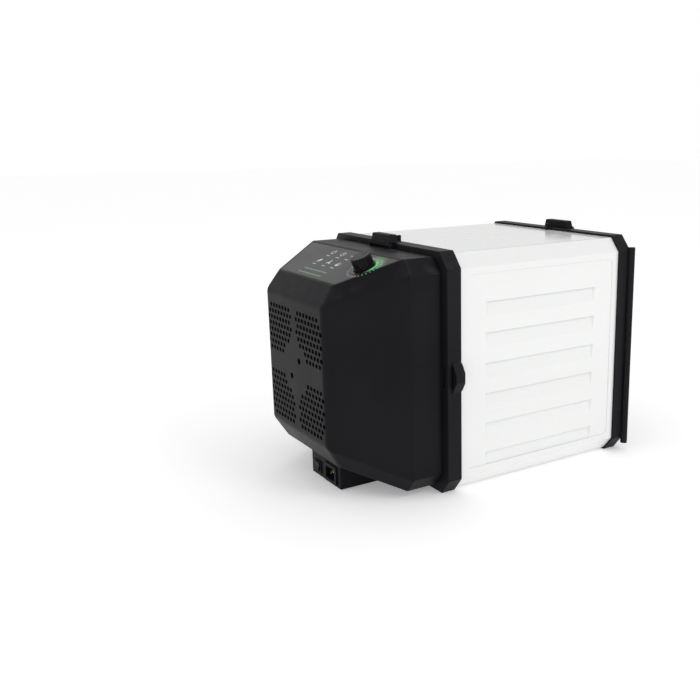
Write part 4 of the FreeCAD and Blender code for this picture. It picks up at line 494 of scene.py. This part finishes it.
def fins(name, count, radius, fin_radius, thick, material):
    """Thin round fins strung on a ring-shaped heating tube."""
    sizes = {"Count": count, "Radius": radius, "Fin Radius": fin_radius, "Thick": thick}
    make = Maker(name, sizes, material)
    angle = make.index() * (2 * math.pi) / make.size("Count")
    x = make.size("Radius") * make.maths("COSINE", angle)
    z = make.size("Radius") * make.maths("SINE", angle)
    place = make.point(x, 0.0, z)
    inputs = {"Vertices": 18, "Radius": make.size("Fin Radius"), "Depth": make.size("Thick")}
    disc = make.add("GeometryNodeMeshCylinder", {}, inputs).outputs["Mesh"]
    return make.mesh(make.row(make.size("Count"), place, disc, make.point(0.0, angle * -1.0, 0.0)))


# ---- dressing the frame ----------------------------------------------------------------------
INTAKE_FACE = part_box("fan_cover")[1][1] - 0.5 * MM
BLACK = satin_plastic(
    "black_moulding", (0.0062, 0.0060, 0.0078), (0.040, 0.040, 0.044), rough=0.38, grain=1500.0,
    depth=0.05 * MM, matt_face=INTAKE_FACE,
)
FRAME_BLACK = satin_plastic(
    "frame_moulding", (0.0085, 0.0085, 0.0100), (0.045, 0.045, 0.050), rough=0.42, grain=1100.0,
    depth=0.06 * MM,
)
DARK_MATT = satin_plastic(
    "duct_moulding", (0.016, 0.016, 0.017), (0.07, 0.07, 0.07), rough=0.55, grain=700.0,
    depth=0.08 * MM,
)
KNOB_GLOSS = satin_plastic(
    "knob_gloss", (0.003, 0.003, 0.0035), (0.02, 0.02, 0.022), rough=0.16, grain=1800.0,
    depth=0.01 * MM, coat=0.1,
)
DRIP_GREY = satin_plastic(
    "drip_moulding", (0.060, 0.060, 0.061), (0.16, 0.16, 0.16), rough=0.46, grain=900.0,
    depth=0.06 * MM,
)
WHITE = white_plastic("white_gloss", (0.86, 0.86, 0.855), 0.10)
TRAY_WHITE = white_plastic("tray_moulding", (0.84, 0.84, 0.83), 0.32, 0.4 * MM, 0.00005)
PANEL_FILM = panel_plastic()
RING_GLOW = lit_plastic("ring_glow", (0.10, 0.50, 0.16), 0.7)
STEEL = brushed_metal("drawn_steel", (0.58, 0.57, 0.56), 0.26, (1.0, 6.0, 0.2))
PIN_STEEL = brushed_metal("pin_steel", (0.42, 0.42, 0.43), 0.30, (6.0, 6.0, 0.2))
BLACK_SCREW = brushed_metal("blackened_steel", (0.05, 0.05, 0.055), 0.34, (3.0, 3.0, 3.0))
MOTOR_STEEL = brushed_metal("motor_can", (0.46, 0.45, 0.44), 0.34, (3.0, 0.3, 3.0))
BRASS = brushed_metal("inlet_brass", (0.72, 0.56, 0.28), 0.22, (1.0, 0.3, 4.0))
HEATER = heater_tube("heater_tube")
BOARD = board_lacquer()
CASES = component_cases()
WHITE_INK = printed_ink("white_ink", (0.62, 0.64, 0.62))
GREEN_INK = printed_ink("green_ink", (0.22, 0.33, 0.22))

FINISHES = (
    (BLACK, ("fan_cover", "inlet_housing", "switch_bezel", "power_inlet")),
    (FRAME_BLACK, ("front_frame", "rear_frame", "door_frame", "door_panel", "front_side_latch",
                   "rear_side_latch", "fan_unit_top_latch", "door_top_latch", "front_catch_peg",
                   "rear_catch_peg")),
    (DARK_MATT, ("fan_shroud", "air_guard", "fan_rotor")),
    (KNOB_GLOSS, ("dial_knob", "switch_rocker")),
    (DRIP_GREY, ("drip_tray",)),
    (WHITE, ("left_side_panel", "right_side_panel", "top_panel", "bottom_panel")),
    (TRAY_WHITE, tuple(name for name in frame["nodes"] if name.startswith("tray_"))),
    (PANEL_FILM, ("control_panel",)),
    (RING_GLOW, ("dial_light_ring",)),
    (STEEL, ("heater_bracket", "thermal_cutout", "dial_encoder", "board_screws", "shroud_screws",
             "motor_screws")),
    (PIN_STEEL, ("front_hinge_pin", "rear_hinge_pin", "front_side_latch_pin", "rear_side_latch_pin",
                 "fan_unit_top_latch_pin", "door_top_latch_pin", "rotor_shaft", "dial_shaft")),
    (BLACK_SCREW, ("frame_screws", "guard_screws")),
    (MOTOR_STEEL, ("fan_motor",)),
    (BRASS, ("inlet_pins",)),
    (HEATER, ("heater_element",)),
    (BOARD, ("circuit_board",)),
    (CASES, ("board_components",)),
)
for finish, names in FINISHES:
    for name in names:
        materials = frame["nodes"][name].data.materials
        materials.clear()
        materials.append(finish)

# ---- marks on the control panel --------------------------------------------------------------
# Sizes in millimetres from the dial's middle, across the panel and up its slope.
INK = 0.12
ICON_X = (-113.0, -86.0, -61.0)
ICON_Y = (16.4, -6.6)
LABEL_DROP = 9.6
marks = []
x, y = ICON_X[0], ICON_Y[0]
marks += arc_band(x, y, 3.4, 4.6, 120, 300) + [bar(x, y + 3.4, 1.2, 4.2, 0)]
x, y = ICON_X[1], ICON_Y[0]
marks += arc_band(x, y, 3.7, 4.7, 0, 360) + [bar(x, y + 1.4, 2.8, 0.9, 90), bar(x + 1.1, y, 2.2, 0.9)]
x, y = ICON_X[2], ICON_Y[0]
marks += [bar(x + 4.0, y + 0.8, 15.0, 1.3, 8)]
x, y = ICON_X[0], ICON_Y[1]
marks += [blob(x, y, 10.0, 6.0, 1.5, 40), bar(x - 4.0, y - 3.6, 4.0, 0.9, 40)]
x, y = ICON_X[1], ICON_Y[1]
marks += [blob(x + 3.0 * math.cos(a), y + 3.0 * math.sin(a), 6.0, 3.0, 1.3, math.degrees(a))
          for a in (math.pi / 2, math.pi * 7 / 6, math.pi * 11 / 6)]
x, y = ICON_X[2], ICON_Y[1]
marks += arc_band(x, y, 0.4, 4.4, 180, 180) + [bar(x, y + 1.6, 9.2, 1.0), bar(x, y + 4.0, 5.0, 1.0)]
for y in ICON_Y:
    marks += [bar(x, y - LABEL_DROP, 9.0, 1.3) for x in ICON_X]


printed = slabs(scaled(marks), 0.0, INK * MM)
printed.transform(ON_PANEL)
piece("panel_marks", printed, WHITE_INK, "fan_unit")

METER_START, METER_STEP, METER_BARS = -117.0, 3.1, 21
METER_Y = (-28.6, -38.0)
bars = [bar(METER_START + METER_STEP * n, y, 2.3, 2.4) for n in range(METER_BARS) for y in METER_Y]
meters = slabs(scaled(bars), 0.0, INK * MM)
meters.transform(ON_PANEL)
piece("panel_meters", meters, GREEN_INK, "fan_unit")

TICKS, TICK_RADIUS, TICK_LENGTH, TICK_WIDTH = 25, 23.5 * MM, 3.2 * MM, 0.7 * MM
SCALE_START, SCALE_SWEEP = -240.0, 300.0
scale = ticks("dial_ticks", TICKS, TICK_RADIUS, TICK_LENGTH, TICK_WIDTH, INK * MM, SCALE_START,
              SCALE_SWEEP, WHITE_INK)
scale.transform(ON_PANEL)
piece("dial_scale", scale, WHITE_INK, "fan_unit")

# ---- trays' fine floors ----------------------------------------------------------------------
RIM_IN = 12.6 * MM
FLOOR_UP = 1.0 * MM
STRANDS, STRAND, STRAND_HEIGHT = 48, 0.9 * MM, 1.2 * MM
for number in range(1, 7):
    low, high = (Vector(corner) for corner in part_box("tray_%d" % number))
    width = high.x - low.x - 2 * RIM_IN
    length = high.y - low.y - 2 * RIM_IN
    mesh = lattice("tray_lattice_%d" % number, width, length, STRANDS, STRANDS, STRAND,
                   STRAND_HEIGHT, TRAY_WHITE)
    centre = (low + high) / 2
    mesh.transform(Matrix.Translation((centre.x, centre.y, low.z + FLOOR_UP)))
    piece("tray_mesh_%d" % number, mesh, TRAY_WHITE, "tray_body_%d" % number)

# ---- heater fins -----------------------------------------------------------------------------
RING_GAP = 20 * MM
FIN_OVER_TUBE = 1.6 * MM
FIN_THICK = 0.35 * MM
low, high = (Vector(corner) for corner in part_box("heater_element"))
heater_centre = (low + high) / 2
tube = (high.y - low.y) / 2
outer_ring = (high.x - low.x) / 2 - tube
inner_ring = outer_ring - RING_GAP
for name, radius, count in (("outer_fins", outer_ring, 132), ("inner_fins", inner_ring, 88)):
    mesh = fins(name, count, radius, tube + FIN_OVER_TUBE, FIN_THICK, HEATER)
    mesh.transform(Matrix.Translation(heater_centre))
    piece(name, mesh, HEATER, "fan_unit")

# ---- floor, light and camera -----------------------------------------------------------------
PURE_WHITE = (1.0, 1.0, 1.0, 1.0)
WALL_LIGHT = 0.8
FLOOR_REACH = 12.0
floor_mesh = bpy.data.meshes.new("floor")
corners = [(FLOOR_REACH * x, FLOOR_REACH * y, 0.0) for x, y in ((-1, -1), (1, -1), (1, 1), (-1, 1))]
floor_mesh.from_pydata(corners, [], [[0, 1, 2, 3]])
floor = bpy.data.objects.new("floor", floor_mesh)
bpy.context.scene.collection.objects.link(floor)
pale = Finish("pale_floor", Roughness=0.9, Specular_IOR_Level=0.2, Emission_Strength=0.25,
              Emission_Color=PURE_WHITE)
tint = pale.blend(pale.noise(1.5, 2.0), (0.93, 0.93, 0.93), (0.90, 0.90, 0.90))
floor_mesh.materials.append(pale.done(Base_Color=tint))

world = bpy.data.worlds.new("studio")
world.use_nodes = True
bpy.context.scene.world = world
room = Graph(world.node_tree)
seen = room.add("ShaderNodeLightPath").outputs["Is Camera Ray"]
walls = room.add("ShaderNodeBackground", {}, {"Color": PURE_WHITE, "Strength": WALL_LIGHT})
backdrop = room.add("ShaderNodeBackground", {}, {"Color": PURE_WHITE, "Strength": 1.0})
either = room.add("ShaderNodeMixShader", {}, [seen, walls.outputs[0], backdrop.outputs[0]])
room.feed(world.node_tree.nodes["World Output"].inputs["Surface"], either.outputs[0])
bpy.context.scene.view_settings.view_transform = "Standard"


def soft_light(name, place, aim, side, watts):
    """A square panel of light that faces a point."""
    light = bpy.data.lights.new(name, "AREA")
    light.shape = "RECTANGLE"
    light.size = light.size_y = side
    light.energy = watts
    obj = bpy.data.objects.new(name, light)
    bpy.context.scene.collection.objects.link(obj)
    obj.location = place
    obj.rotation_euler = (Vector(aim) - Vector(place)).to_track_quat("-Z", "Y").to_euler()


soft_light("side_key", (-2.0, -0.6, 1.9), (0.0, -0.05, 0.16), 0.9, 11.0)
soft_light("face_fill", (1.2, 2.4, 1.2), (0.0, 0.1, 0.16), 1.6, 3.0)
soft_light("top_soft", (0.6, -0.2, 2.6), (0.0, 0.0, 0.3), 1.6, 2.0)

CAMERA_PLACE = (-1.0330, 0.6892, 0.4576)
CAMERA_TURN = math.radians(236.424)
CAMERA_RISE = math.radians(13.715)
CAMERA_ROLL = math.radians(-0.532)
camera_data = bpy.data.cameras.new("camera")
camera_data.sensor_width = 36.0
camera_data.lens = 44.92
camera_data.shift_x = -0.1286
camera = bpy.data.objects.new("camera", camera_data)
bpy.context.scene.collection.objects.link(camera)
back = Vector((
    math.sin(CAMERA_TURN) * math.cos(CAMERA_RISE),
    -math.cos(CAMERA_TURN) * math.cos(CAMERA_RISE),
    math.sin(CAMERA_RISE),
))
turned = (-back).to_track_quat("-Z", "Y").to_matrix() @ Matrix.Rotation(CAMERA_ROLL, 3, "Z")
camera.matrix_world = Matrix.Translation(CAMERA_PLACE) @ turned.to_4x4()
bpy.context.scene.camera = camera
